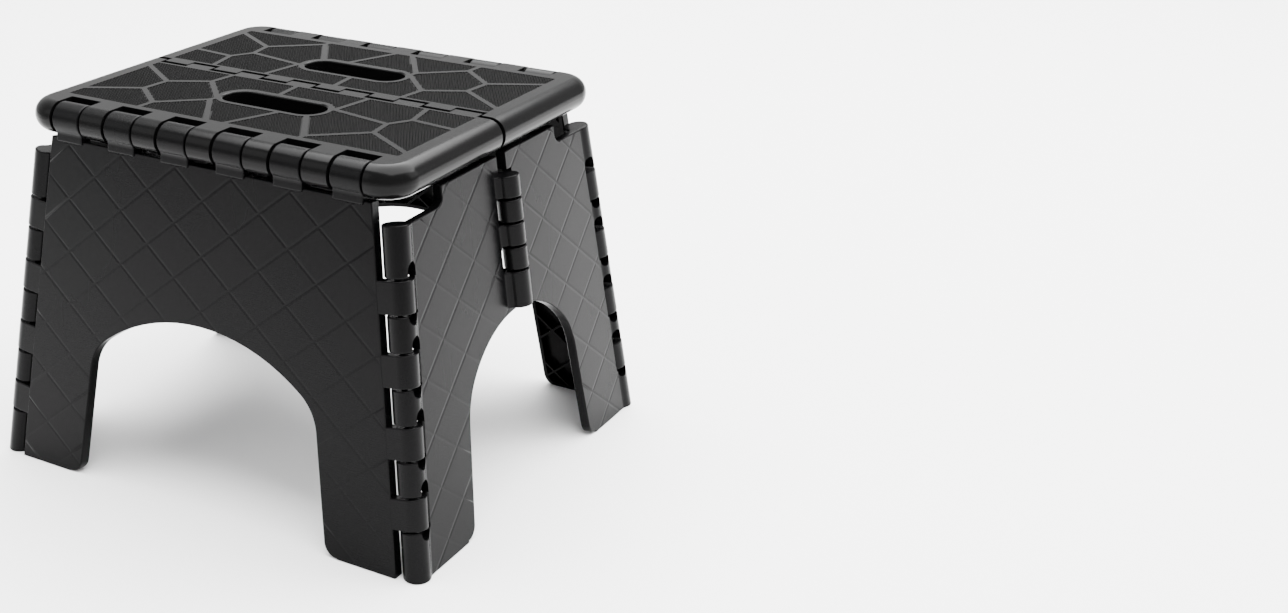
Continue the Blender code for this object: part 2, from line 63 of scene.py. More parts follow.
OVERRUN = 0.002  # cutters run on past a face by this much
WIDE = 0.2  # wider than any panel
SAME = 1e-5  # points nearer than this are at one place
WELD = 1e-6
FACING = 0.99  # the least cosine between a face's normal and the way it looks
BEHIND_FACE = 0.00005  # joined shapes stand this far behind a panel's face
CROSSING_HEIGHT = 0.06  # the ribs of every panel cross at this height
RIB_SPREAD = 0.12  # ribs are laid out over this much either side of a crossing
BORE_SIDES = 20
HANDS = ((1, ("right_front", "left_back")), (-1, ("right_back", "left_front")))


class Plane(Enum):
    """A drawing plane, named by its two axes."""

    XY = "XY"
    XZ = "XZ"
    YZ = "YZ"

    def place(self, u: float, v: float, depth: float) -> Vector:
        """Return the point at u and v on the plane, at a depth across it."""
        return Vector({"XY": (u, v, depth), "XZ": (u, depth, v), "YZ": (depth, u, v)}[self.value])

    def axis(self) -> Vector:
        """Return the axis about which u turns towards v."""
        return Vector({"XY": (0, 0, 1), "XZ": (0, -1, 0), "YZ": (1, 0, 0)}[self.value])


class Cut(Enum):
    """What a Boolean does with its helper."""

    AWAY = "DIFFERENCE"
    ON = "UNION"


class Side(Enum):
    """Front or back of the stool."""

    FRONT = "front"
    BACK = "back"

    def turn(self) -> Matrix:
        """Return the turn that takes a front moulding to this side."""
        return Matrix.Identity(4) if self is Side.FRONT else HALF_TURN


class Part(Enum):
    """What is picked in edit mode."""

    EDGE = "EDGE"
    FACE = "FACE"


# Hand tools.

def leave_edit() -> None:
    """Go back to object mode and deselect everything."""
    if bpy.context.object and bpy.context.object.mode != "OBJECT":
        bpy.ops.object.mode_set(mode="OBJECT")
    bpy.ops.object.select_all(action="DESELECT")


def take(item: Item) -> Item:
    """Select one object alone and make it active.

    Args:
        item: The object to work on.

    Returns:
        The same object.
    """
    leave_edit()
    item.select_set(True)
    bpy.context.view_layer.objects.active = item
    return item


def settle(item: Item, place: Matrix) -> Item:
    """Move an object by a matrix and put the move into its mesh.

    Args:
        item: The object to move.
        place: The matrix to move it by.

    Returns:
        The same object, back at the origin.
    """
    take(item)
    item.matrix_world = place
    bpy.ops.object.transform_apply(location=True, rotation=True, scale=True)
    return item


def block(name: str, low: Sequence[float], high: Sequence[float]) -> Item:
    """Add a cube between two corners.

    Args:
        name: The object's name.
        low: Its lowest corner.
        high: Its highest corner.

    Returns:
        The new object.
    """
    leave_edit()
    low, high = Vector(low), Vector(high)
    bpy.ops.mesh.primitive_cube_add(size=1.0, location=(low + high) / 2, scale=high - low)
    bpy.context.object.name = name
    bpy.ops.object.transform_apply(location=True, rotation=True, scale=True)
    return bpy.context.object


def rod(name: str, start: Vector, end: Vector, radius: float, sides: int) -> Item:
    """Add a cylinder between two points.

    Args:
        name: The object's name.
        start: Middle of one end.
        end: Middle of the other end.
        radius: Its radius.
        sides: The number of its sides.

    Returns:
        The new object.
    """
    leave_edit()
    along = Vector(end) - Vector(start)
    turn = along.to_track_quat("Z", "Y").to_euler()
    bpy.ops.mesh.primitive_cylinder_add(
        vertices=sides, radius=radius, depth=along.length,
        location=(Vector(start) + Vector(end)) / 2, rotation=turn,
    )
    bpy.context.object.name = name
    bpy.ops.object.transform_apply(location=True, rotation=True, scale=True)
    return bpy.context.object


def copy_of(item: Item, name: str) -> Item:
    """Copy an object with a mesh of its own.

    Args:
        item: The object to copy.
        name: The copy's name.

    Returns:
        The copy.
    """
    take(item)
    bpy.ops.object.duplicate(linked=False)
    bpy.context.object.name = name
    return bpy.context.object


def joined(name: str, items: Sequence[Item]) -> Item:
    """Join several objects into one.

    Args:
        name: The joined object's name.
        items: The objects to join.

    Returns:
        The joined object.
    """
    take(items[0])
    for item in items:
        item.select_set(True)
    if len(items) > 1:
        bpy.ops.object.join()
    items[0].name = name
    return items[0]


def combine(
    item: Item, cut: Cut, helpers: Sequence[Item], crossed: bool = False
) -> Item:
    """Apply a Boolean with helpers, which are then removed.

    Args:
        item: The object that is changed.
        cut: What the Boolean does.
        helpers: The objects that it uses.
        crossed: Whether the helpers reach into each other.

    Returns:
        The changed object.
    """
    helper = joined("helper", helpers)
    take(item)
    step = item.modifiers.new("combine", "BOOLEAN")
    step.operation = cut.value
    step.solver = "EXACT"
    step.use_self = crossed
    step.object = helper
    bpy.ops.object.modifier_apply(modifier=step.name)
    bpy.data.objects.remove(helper, do_unlink=True)
    return item


def pick(item: Item, part: Part, test: Callable[[Edge | Face], bool]) -> None:
    """Open an object in edit mode with the edges or faces selected that pass a test.

    Args:
        item: The object to open.
        part: Whether edges or faces are picked.
        test: Says whether one is wanted.
    """
    take(item)
    bpy.ops.object.mode_set(mode="EDIT")
    bpy.ops.mesh.select_mode(type=part.value)
    bpy.ops.mesh.select_all(action="DESELECT")
    shape = bmesh.from_edit_mesh(item.data)
    for member in shape.edges if part is Part.EDGE else shape.faces:
        member.select_set(test(member))
    bmesh.update_edit_mesh(item.data)


def open_whole(item: Item) -> None:
    """Open an object in edit mode with everything selected.

    Args:
        item: The object to open.
    """
    take(item)
    bpy.ops.object.mode_set(mode="EDIT")
    bpy.ops.mesh.select_all(action="SELECT")


def close_outwards() -> None:
    """Turn every face of the open object outwards and leave edit mode."""
    bpy.ops.mesh.select_all(action="SELECT")
    bpy.ops.mesh.normals_make_consistent(inside=False)
    leave_edit()


def facing(x: Vector, y: Vector, z: Vector) -> Matrix:
    """Return the turn that takes X, Y and Z to three directions."""
    return Matrix((x, y, z)).transposed().to_4x4()


def cove(ring: float, hollow: float, face: float) -> Tuple[Point, float]:
    """Find the hollow fillet between a ring and a flat face beside it.

    Args:
        ring: The ring's radius.
        hollow: The fillet's radius.
        face: How far out from the ring's axis the face is.

    Returns:
        The fillet's centre, with its first coordinate outwards, and its bearing in degrees.
    """
    out = face + hollow
    along = math.sqrt((ring + hollow)**2 - out**2)
    return (out, along), math.degrees(math.atan2(along, out))


def used_twice(item: Item) -> List[Item]:
    """Return a front moulding and a copy of it turned half round."""
    return [item, settle(copy_of(item, "second"), HALF_TURN)]


def round_edges(
    item: Item, width: float, segments: int, test: Callable[[Edge], bool]
) -> Item:
    """Bevel the edges that pass a test.

    Args:
        item: The object to change.
        width: The bevel's width.
        segments: The number of its faces across.
        test: Says whether an edge is rounded.

    Returns:
        The same object.
    """
    pick(item, Part.EDGE, test)
    bpy.ops.mesh.bevel(offset=width, segments=segments, profile=0.5, affect="EDGES", clamp_overlap=True)
    leave_edit()
    return item


def ends_at(axis: int, *levels: float) -> Callable[[Edge], bool]:
    """Return a test for edges that lie at one of some levels along an axis.

    Args:
        axis: The axis: 0, 1 or 2.
        levels: The levels along it.

    Returns:
        The test.
    """
    def test(edge: Edge) -> bool:
        """Say whether both ends of an edge are at one of the levels."""
        first, second = (vert.co[axis] for vert in edge.verts)
        return any(max(abs(first - level), abs(second - level)) < SAME for level in levels)
    return test


def polish(item: Item, degrees: float = 36.0) -> Item:
    """Shade an object smooth up to an angle, with flat faces kept flat.

    Args:
        item: The object to shade.
        degrees: Edges sharper than this stay sharp.

    Returns:
        The same object.
    """
    take(item)
    bpy.ops.object.shade_smooth_by_angle(angle=math.radians(degrees))
    weighted = item.modifiers.new("weighted", "WEIGHTED_NORMAL")
    weighted.mode = "FACE_AREA"
    weighted.weight = 80
    weighted.keep_sharp = True
    bpy.ops.object.modifier_apply(modifier=weighted.name)
    return item


def sharpen_sinks(panel: Item, out: Vector) -> Item:
    """Keep the sink lines' own edges sharp, so that they show.

    Args:
        panel: The panel.
        out: The direction that its outer face looks in.

    Returns:
        The same panel.
    """
    least_cosine, least_bend, weld = 0.97, 0.015, 4e-6

    def shallow(edge: Edge) -> bool:
        """Say whether an edge lies between two faces that nearly face outwards.

        Args:
            edge: The edge.

        Returns:
            Whether it does.
        """
        normals = [face.normal for face in edge.link_faces]
        if len(normals) != 2 or min(normal.dot(out) for normal in normals) <= least_cosine:
            return False
        return normals[0].angle(normals[1], 0) > least_bend
    open_whole(panel)
    bpy.ops.mesh.remove_doubles(threshold=weld)
    bpy.ops.mesh.dissolve_degenerate(threshold=weld)
    pick(panel, Part.EDGE, shallow)
    bpy.ops.mesh.mark_sharp()
    leave_edit()
    return panel


def trim_floor(item: Item) -> Item:
    """Cut a placed moulding off flat at the floor.

    Args:
        item: The moulding.

    Returns:
        The same moulding.
    """
    open_whole(item)
    bpy.ops.mesh.bisect(
        plane_co=(0, 0, 0), plane_no=(0, 0, 1), use_fill=True, clear_inner=True, threshold=WELD,
    )
    leave_edit()
    return item


def pocket_in(panel: Item, back: Vector, least_area: float, border: float, depth: float) -> Item:
    """Model the cutter for an open pocket in a panel's inner side.

    Args:
        panel: The panel.
        back: The direction that its inner side looks in.
        least_area: The inner side's area is larger than this.
        border: How far in from the inner side's edge the pocket starts.
        depth: The pocket's depth.

    Returns:
        The cutter.
    """
    spare = OVERRUN / 2
    pocket = copy_of(panel, "pocket")
    pick(pocket, Part.FACE, lambda face: face.normal.dot(back) > FACING and face.calc_area() > least_area)
    bpy.ops.mesh.inset(thickness=border, depth=0.0)
    bpy.ops.mesh.select_all(action="INVERT")
    bpy.ops.mesh.delete(type="FACE")
    bpy.ops.mesh.select_all(action="SELECT")
    bpy.ops.transform.translate(value=back * spare)
    bpy.ops.mesh.extrude_region_move(TRANSFORM_OT_translate={"value": -back * (depth + spare)})
    close_outwards()
    return pocket


def mirrored(item: Item, axis: int) -> Item:
    """Mirror an object's mesh across the origin and turn its faces outwards again.

    Args:
        item: The object to mirror.
        axis: The axis that changes sign.

    Returns:
        The same object.
    """
    open_whole(item)
    flip = [1.0, 1.0, 1.0]
    flip[axis] = -1.0
    bpy.ops.transform.resize(value=flip, center_override=(0, 0, 0))
    close_outwards()
    return item


class Sketch:
    """A closed outline drawn point by point, then filled and given its thickness."""

    def __init__(self, name: str, plane: Plane, start: Point, depth: float) -> None:
        """Put down the first point.

        Args:
            name: The object's name.
            plane: The plane to draw on.
            start: The first point on it.
            depth: Where the plane lies across its own two axes.
        """
        leave_edit()
        bpy.ops.mesh.primitive_plane_add(size=0.01)
        self.item = bpy.context.object
        self.item.name = name
        self.plane, self.at, self.depth = plane, Vector(start), depth
        bpy.ops.object.mode_set(mode="EDIT")
        bpy.ops.mesh.select_mode(type="VERT")
        bpy.ops.mesh.select_all(action="SELECT")
        bpy.ops.mesh.merge(type="CENTER")
        bpy.ops.transform.translate(value=plane.place(*start, depth))

    def line(self, *points: Point) -> "Sketch":
        """Draw straight on through some points.

        Args:
            points: The points, in order.

        Returns:
            The same sketch.
        """
        for point in points:
            step = Vector(point) - self.at
            move = {"value": self.plane.place(step.x, step.y, 0.0)}
            bpy.ops.mesh.extrude_vertices_move(TRANSFORM_OT_translate=move)
            self.at = Vector(point)
        return self

    def arc(self, centre: Point, degrees: float, steps: int) -> "Sketch":
        """Draw on round a centre.

        Args:
            centre: The arc's centre.
            degrees: How far it turns, anticlockwise if positive.
            steps: The number of its straight parts.

        Returns:
            This sketch.
        """
        angle = math.radians(degrees)
        bpy.ops.mesh.spin(
            steps=steps, angle=-angle, center=self.plane.place(*centre, self.depth), axis=self.plane.axis()
        )
        arm = self.at - Vector(centre)
        cos, sin = math.cos(angle), math.sin(angle)
        self.at = Vector(centre) + Vector((arm.x * cos - arm.y * sin, arm.x * sin + arm.y * cos))
        return self

    def thicken(self, depth: float) -> Item:
        """Fill the outline and extrude it to another depth.

        Args:
            depth: The far side's depth.

        Returns:
            The closed object.
        """
        bpy.ops.mesh.select_all(action="SELECT")
        bpy.ops.mesh.remove_doubles(threshold=WELD)
        bpy.ops.mesh.edge_face_add()
        move = {"value": self.plane.place(0.0, 0.0, depth - self.depth)}
        bpy.ops.mesh.extrude_region_move(TRANSFORM_OT_translate=move)
        close_outwards()
        return self.item


# Shared sizes.

@dataclass(frozen=True)
class Layout:
    """Where the hinges stand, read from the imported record."""

    top_pin_y: float
    top_pin_z: float
    seam_z: float
    foot_x: float
    foot_y: float
    leg_splay: float
    side_splay: float
    below_floor: float = 0.004

    @classmethod
    def from_frame(cls) -> "Layout":
        """Read the hinge places from the frame's joints.

        Returns:
            The layout.
        """
        joints = {joint["name"]: joint for joint in frame["joints"]}
        _, pin_y, pin_z = joints["front_top_hinge"]["pos_m"]
        foot_x, foot_y, _ = joints["right_front_corner"]["pos_m"]
        lean_x, lean_y, lean_z = joints["right_front_corner"]["axis"]
        return cls(
            top_pin_y=-pin_y, top_pin_z=pin_z, seam_z=joints["centre_seam"]["pos_m"][2],
            foot_x=foot_x, foot_y=-foot_y,
            leg_splay=math.atan2(abs(lean_y), abs(lean_z)), side_splay=math.atan2(abs(lean_x), abs(lean_z)),
        )

    def leg_place(self) -> Matrix:
        """Return the front leg panel's frame: top hinge axis, Y inwards, Z up the panel."""
        tilt = Matrix.Rotation(-self.leg_splay, 4, "X")
        return Matrix.Translation((0, -self.top_pin_y, self.top_pin_z)) @ tilt

    def side_place(self, hand: int) -> Matrix:
        """Return a right side panel's frame: corner axis foot, X outwards, Z up the panel."""
        lean = Matrix.Rotation(-self.side_splay, 4, "Y")
        return Matrix.Translation((self.foot_x, -hand * self.foot_y, 0)) @ lean


@dataclass(frozen=True)
class Arch:
    """An arched opening between two feet: a crown arc, two corner arcs and leaning sides."""

    apex: float
    crown: float
    corner: float
    inner: float
    foot: float
    slope: float = 0.1315
    foot_steps: int = 8
    corner_steps: int = 14

    def corner_centre(self) -> Point:
        """Return the right corner arc's centre, above the floor line.

        Returns:
            The centre, measured from the arch's middle and the floor line.
        """
        lean = math.sqrt(1 + self.slope**2)
        low = self.apex - self.crown
        reach = self.crown - self.corner
        base = self.inner - self.corner * lean - self.slope * low
        square = 1 + self.slope**2
        rise = (self.slope * base + math.sqrt(reach**2 * square - base**2)) / square
        return base - self.slope * rise, low + rise

    def side_angle(self) -> float:
        """Return how far a side leans, in degrees."""
        return math.degrees(math.atan(self.slope))

    def crown_angle(self) -> float:
        """Return where the corner arc meets the crown arc, in degrees."""
        x, z = self.corner_centre()
        return math.degrees(math.atan2(z - (self.apex - self.crown), x))

    def foot_centre(self) -> Point:
        """Return the centre of the right foot's rounded corner."""
        lean = math.sqrt(1 + self.slope**2)
        return self.inner + self.foot * lean - self.slope * self.foot, self.foot

    def climb(self, sketch: Sketch, middle: float, floor: float, below: float) -> None:
        """Draw from the floor left of the opening up to the crown arc's start.

        Args:
            sketch: The sketch to draw on.
            middle: Where the opening's middle is.
            floor: Where the floor line is.
            below: How far the outline starts under it.
        """
        foot_x, foot_z = self.foot_centre()
        corner_x, corner_z = self.corner_centre()
        lean = math.radians(180 - self.side_angle())
        sketch.line((middle - foot_x, floor - below), (middle - foot_x, floor))
        sketch.arc((middle - foot_x, floor + foot_z), 90 - self.side_angle(), self.foot_steps)
        sketch.line((middle - corner_x + self.corner * math.cos(lean),
                     floor + corner_z + self.corner * math.sin(lean)))
        turn = self.side_angle() - self.crown_angle()
        sketch.arc((middle - corner_x, floor + corner_z), turn, self.corner_steps)

    def cross(self, sketch: Sketch, middle: float, floor: float, degrees: float) -> None:
        """Draw along the crown arc by some degrees."""
        sketch.arc((middle, floor + self.apex - self.crown), -degrees, max(6, round(degrees / 4)))

    def descend(self, sketch: Sketch, middle: float, floor: float, below: float) -> None:
        """Draw from the crown arc's far end down to the floor, as climb does on the left.

        Args:
            sketch: The sketch to draw on.
            middle: Where the arch's middle is.
            floor: The height of the floor line.
            below: How far the foot runs on below the floor.
        """
        foot_x, foot_z = self.foot_centre()
        corner_x, corner_z = self.corner_centre()
        lean = math.radians(180 + self.side_angle())
        turn = self.side_angle() - self.crown_angle()
        sketch.arc((middle + corner_x, floor + corner_z), turn, self.corner_steps)
        sketch.line((middle + foot_x + self.foot * math.cos(lean),
                     floor + foot_z + self.foot * math.sin(lean)))
        sketch.arc((middle + foot_x, floor + foot_z), 90 - self.side_angle(), self.foot_steps)
        sketch.line((middle + foot_x, floor - below))


@dataclass(frozen=True)
class Lattice:
    """The diamond ribs of a panel and the faint sink lines that they leave outside."""

    angle: float = math.radians(39.0)
    pitch: float = 0.040
    rib: float = 0.0014
    sink_width: float = 0.0034
    sink_depths: Tuple[float, float] = (0.00018, 0.00014)
    stand_off: float = 0.00003
    reach: float = 0.17

    def lines(self, middle: Point) -> List[Tuple[Point, float]]:
        """List the lines that cross at a point and at each pitch to either side of it.

        Args:
            middle: A point where lines cross.

        Returns:
            Each line's middle point and its lean.
        """
        count = math.ceil((RIB_SPREAD + self.reach) / self.pitch)
        places = [middle[0] + i * self.pitch for i in range(-count, count + 1)]
        return [((place, middle[1]), lean * self.angle) for place in places for lean in (1, -1)]

    def bars(self, plane: Plane, middle: Point, low: float, high: float) -> Item:
        """Model the crossed ribs.

        Args:
            plane: The panel's plane.
            middle: A point where lines cross.
            low: The ribs' near depth.
            high: Their far depth.

        Returns:
            The ribs as one object.
        """
        made = []
        for (u, v), lean in self.lines(middle):
            bar = block("rib", (-2 * self.reach, -self.rib / 2, low), (2 * self.reach, self.rib / 2, high))
            made.append(settle(bar, self.stand(plane, u, v, lean)))
        return joined("ribs", made)

    def grooves(self, plane: Plane, middle: Point, face: float) -> List[Item]:
        """Model the cutters for the sink lines: flat lozenge rods lying in the face.

        Args:
            plane: The panel's plane.
            middle: A point where lines cross.
            face: The depth of the rods' middles, just outside the outer face.

        Returns:
            One set of rods for each way that the lines lean.
        """
        sets: List[List[Item]] = [[], []]
        for (u, v), lean in self.lines(middle):
            family = 0 if lean > 0 else 1
            end = Vector((2 * self.reach, 0, 0))
            bar = rod("groove", -end, end, 1.0, 4)
            squeeze = Matrix.Diagonal((1.0, self.sink_width / 2, self.sink_depths[family], 1.0))
            lie = self.stand(plane, u, v, lean) @ Matrix.Translation((0, 0, face)) @ squeeze
            sets[family].append(settle(bar, lie))
        return [joined("grooves", made) for made in sets]

    def stand(self, plane: Plane, u: float, v: float, lean: float) -> Matrix:
        """Find the matrix that lays a bar drawn along X, with its depth on Z, on a plane.

        Args:
            plane: The panel's plane.
            u: Where the bar's middle is on it.
            v: The same, along the plane's second axis.
            lean: How far the bar turns on the plane.

        Returns:
            The matrix.
        """
        along = plane.place(math.cos(lean), math.sin(lean), 0.0)
        deep = plane.place(0.0, 0.0, 1.0)
        return Matrix.Translation(plane.place(u, v, 0.0)) @ facing(along, deep.cross(along), deep)


# Mouldings.

@dataclass
class LegPanel:
    """An arched leg panel with six top fingers and four fingers down each corner."""

    layout: Layout
    lattice: Lattice
    arch: Arch = Arch(apex=0.1154, crown=0.120, corner=0.030, inner=0.0927, foot=0.009)
    outer: float = -0.0048
    inner: float = 0.0025
    skin: float = 0.0024
    flange: float = 0.0030
    edge_gap: float = 0.0090
    top: float = -0.0112
    corner_y: float = 0.0035
    edge_round: float = 0.0008
    bore: float = 0.00255
    finger_width: float = 0.0194
    finger_pitch: float = 0.0394
    finger_count: int = 6
    curl: float = 0.0096
    cove: float = 0.0040
    lip: float = -0.0059
    lip_low: float = -0.0122
    lip_round: float = 0.0012
    corner_curl: float = 0.0081
    corner_height: float = 0.0184
    corner_levels: Tuple[float, ...] = (0.1575, 0.1175, 0.0775, 0.0375)
    finger_round: float = 0.0007
    corner_round: float = 0.0006
    root_back: float = 0.0002
    top_bore_half: float = 0.12
    corner_bore_span: Point = (0.002, 0.2)

    def up(self, height: float, depth: float) -> float:
        """Return the panel's own Z of a height above the floor, at a depth in the panel."""
        tilt = self.layout.leg_splay
        return (height - self.layout.top_pin_z + depth * math.sin(tilt)) / math.cos(tilt)

    def corner(self, height: float, mirror: int = 1) -> Vector:
        """Return the corner axis point at a height."""
        across = self.layout.foot_x - math.tan(self.layout.side_splay) * height
        return Vector((mirror * across, self.corner_y, self.up(height, self.corner_y)))

    def model(self) -> Item:
        """Model the whole panel in its own frame.

        Returns:
            The modelled moulding.
        """
        panel = self.slab()
        self.hollow(panel)
        for rods in self.lattice.grooves(Plane.XZ, self.crossing(), self.outer - self.lattice.stand_off):
            combine(panel, Cut.AWAY, [rods], crossed=True)
        fingers = [self.top_finger(x) for x in self.finger_places()]
        fingers += [self.corner_finger(height, mirror) for height in self.corner_levels for mirror in (1, -1)]
        combine(panel, Cut.ON, fingers, crossed=True)
        end = Vector((self.top_bore_half, 0, 0))
        bores = [rod("bore", -end, end, self.bore, BORE_SIDES)]
        for side in (1, -1):
            low, high = (self.corner(height, side) for height in self.corner_bore_span)
            bores.append(rod("bore", low, high, self.bore, BORE_SIDES))
        return combine(panel, Cut.AWAY, bores)

    def crossing(self) -> Point:
        """Return a point on the outer face where ribs cross."""
        return 0.0, self.up(CROSSING_HEIGHT, self.outer)

    def slab(self) -> Item:
        """Model the plain panel with rounded outer edges.

        Returns:
            The plain moulding.
        """
        floor, below = self.up(0.0, self.outer), self.layout.below_floor
        low, high = self.corner(-below), self.corner(self.layout.top_pin_z)
        slope = (high.x - low.x) / (high.z - low.z)
        gap = self.edge_gap * math.sqrt(1 + slope**2)
        base, top = low.x - gap, low.x - gap + slope * (self.top - low.z)
        crown = 180 - 2 * self.arch.crown_angle()
        sketch = Sketch("leg_panel", Plane.XZ, (-base, floor - below), self.outer)
        self.arch.climb(sketch, 0.0, floor, below)
        self.arch.cross(sketch, 0.0, floor, crown)
        self.arch.descend(sketch, 0.0, floor, below)
        sketch.line((base, floor - below), (top, self.top), (-top, self.top))
        panel = sketch.thicken(self.inner)
        return round_edges(panel, self.edge_round, 3, ends_at(1, self.outer, self.inner))

    def hollow(self, panel: Item) -> None:
        """Sink the ribbed pocket into the panel's inner side.

        Args:
            panel: The panel to change.
        """
        border, depth = self.flange - self.edge_round, self.inner - self.outer - self.skin
        pocket = pocket_in(panel, Vector((0, 1, 0)), 0.005, border, depth)
        ribs = self.lattice.bars(Plane.XZ, self.crossing(), self.outer, self.inner + OVERRUN)
        floor = self.up(0.0, self.outer)
        low = (-WIDE, self.outer, floor - 10 * OVERRUN)
        sill = block("sill", low, (WIDE, self.inner + OVERRUN, floor + self.flange))
        combine(pocket, Cut.AWAY, [ribs, sill], crossed=True)
        combine(panel, Cut.AWAY, [pocket])

    def finger_places(self) -> List[float]:
        """Return the middle of each top finger along X."""
        return [(i - (self.finger_count - 1) / 2) * self.finger_pitch for i in range(self.finger_count)]

    def top_finger(self, x: float) -> Item:
        """Model a finger that curls over the top pin and runs out in a lip on the face.

        Args:
            x: Where it is along X.

        Returns:
            The finger.
        """
        (out, down), turn = cove(self.curl, self.cove, -self.lip)
        root = self.inner - self.root_back
        start_angle = math.degrees(math.acos(root / self.curl))
        start_z = -self.curl * math.sin(math.radians(start_angle))
        low = self.lip_low - self.lip_round
        sketch = Sketch("finger", Plane.YZ, (root, low), x - self.finger_width / 2)
        sketch.line((root, start_z))
        sketch.arc((0.0, 0.0), start_angle + 180 + turn, 44)
        sketch.arc((-out, -down), -turn, 6)
        sketch.line((self.lip, self.lip_low))
        sketch.arc((self.lip + self.lip_round, self.lip_low), 90, 5)
        finger = sketch.thicken(x + self.finger_width / 2)
        ends = ends_at(0, x - self.finger_width / 2, x + self.finger_width / 2)
        return round_edges(finger, self.finger_round, 3, ends)

    def corner_finger(self, height: float, mirror: int) -> Item:
        """Model a finger that curls round a corner pin, flush with the face.

        Args:
            height: How high the finger's middle is.
            mirror: 1 on the right, -1 on the left.

        Returns:
            The finger.
        """
        face, half = -self.corner_curl, self.corner_height / 2
        back = self.inner - self.corner_y - self.root_back
        root = -self.edge_gap - OVERRUN
        end = 180 + math.degrees(math.asin(-back / self.corner_curl))
        sketch = Sketch("corner_finger", Plane.XY, (root, face), -half)
        sketch.line((0.0, face))
        sketch.arc((0.0, 0.0), 90 + end, 40)
        sketch.line((root, back))
        finger = sketch.thicken(half)
        round_edges(finger, self.corner_round, 3, ends_at(2, -half, half))
        if mirror < 0:
            finger = mirrored(finger, 0)
        low, high = self.corner(height - half, mirror), self.corner(height + half, mirror)
        up = (high - low).normalized()
        forward = Vector((0, 1, 0))
        turn = facing(forward.cross(up), forward, up)
        return settle(finger, Matrix.Translation((low + high) / 2) @ turn)


@dataclass(frozen=True)
class Mouth:
    """An arched slot at a barrel's end, where the pin shows.

    inside is how far in the slot starts, rise is the height of its straight part
    and shift is how far it lies towards the panel.
    """

    inside: float
    radius: float
    rise: float
    shift: float


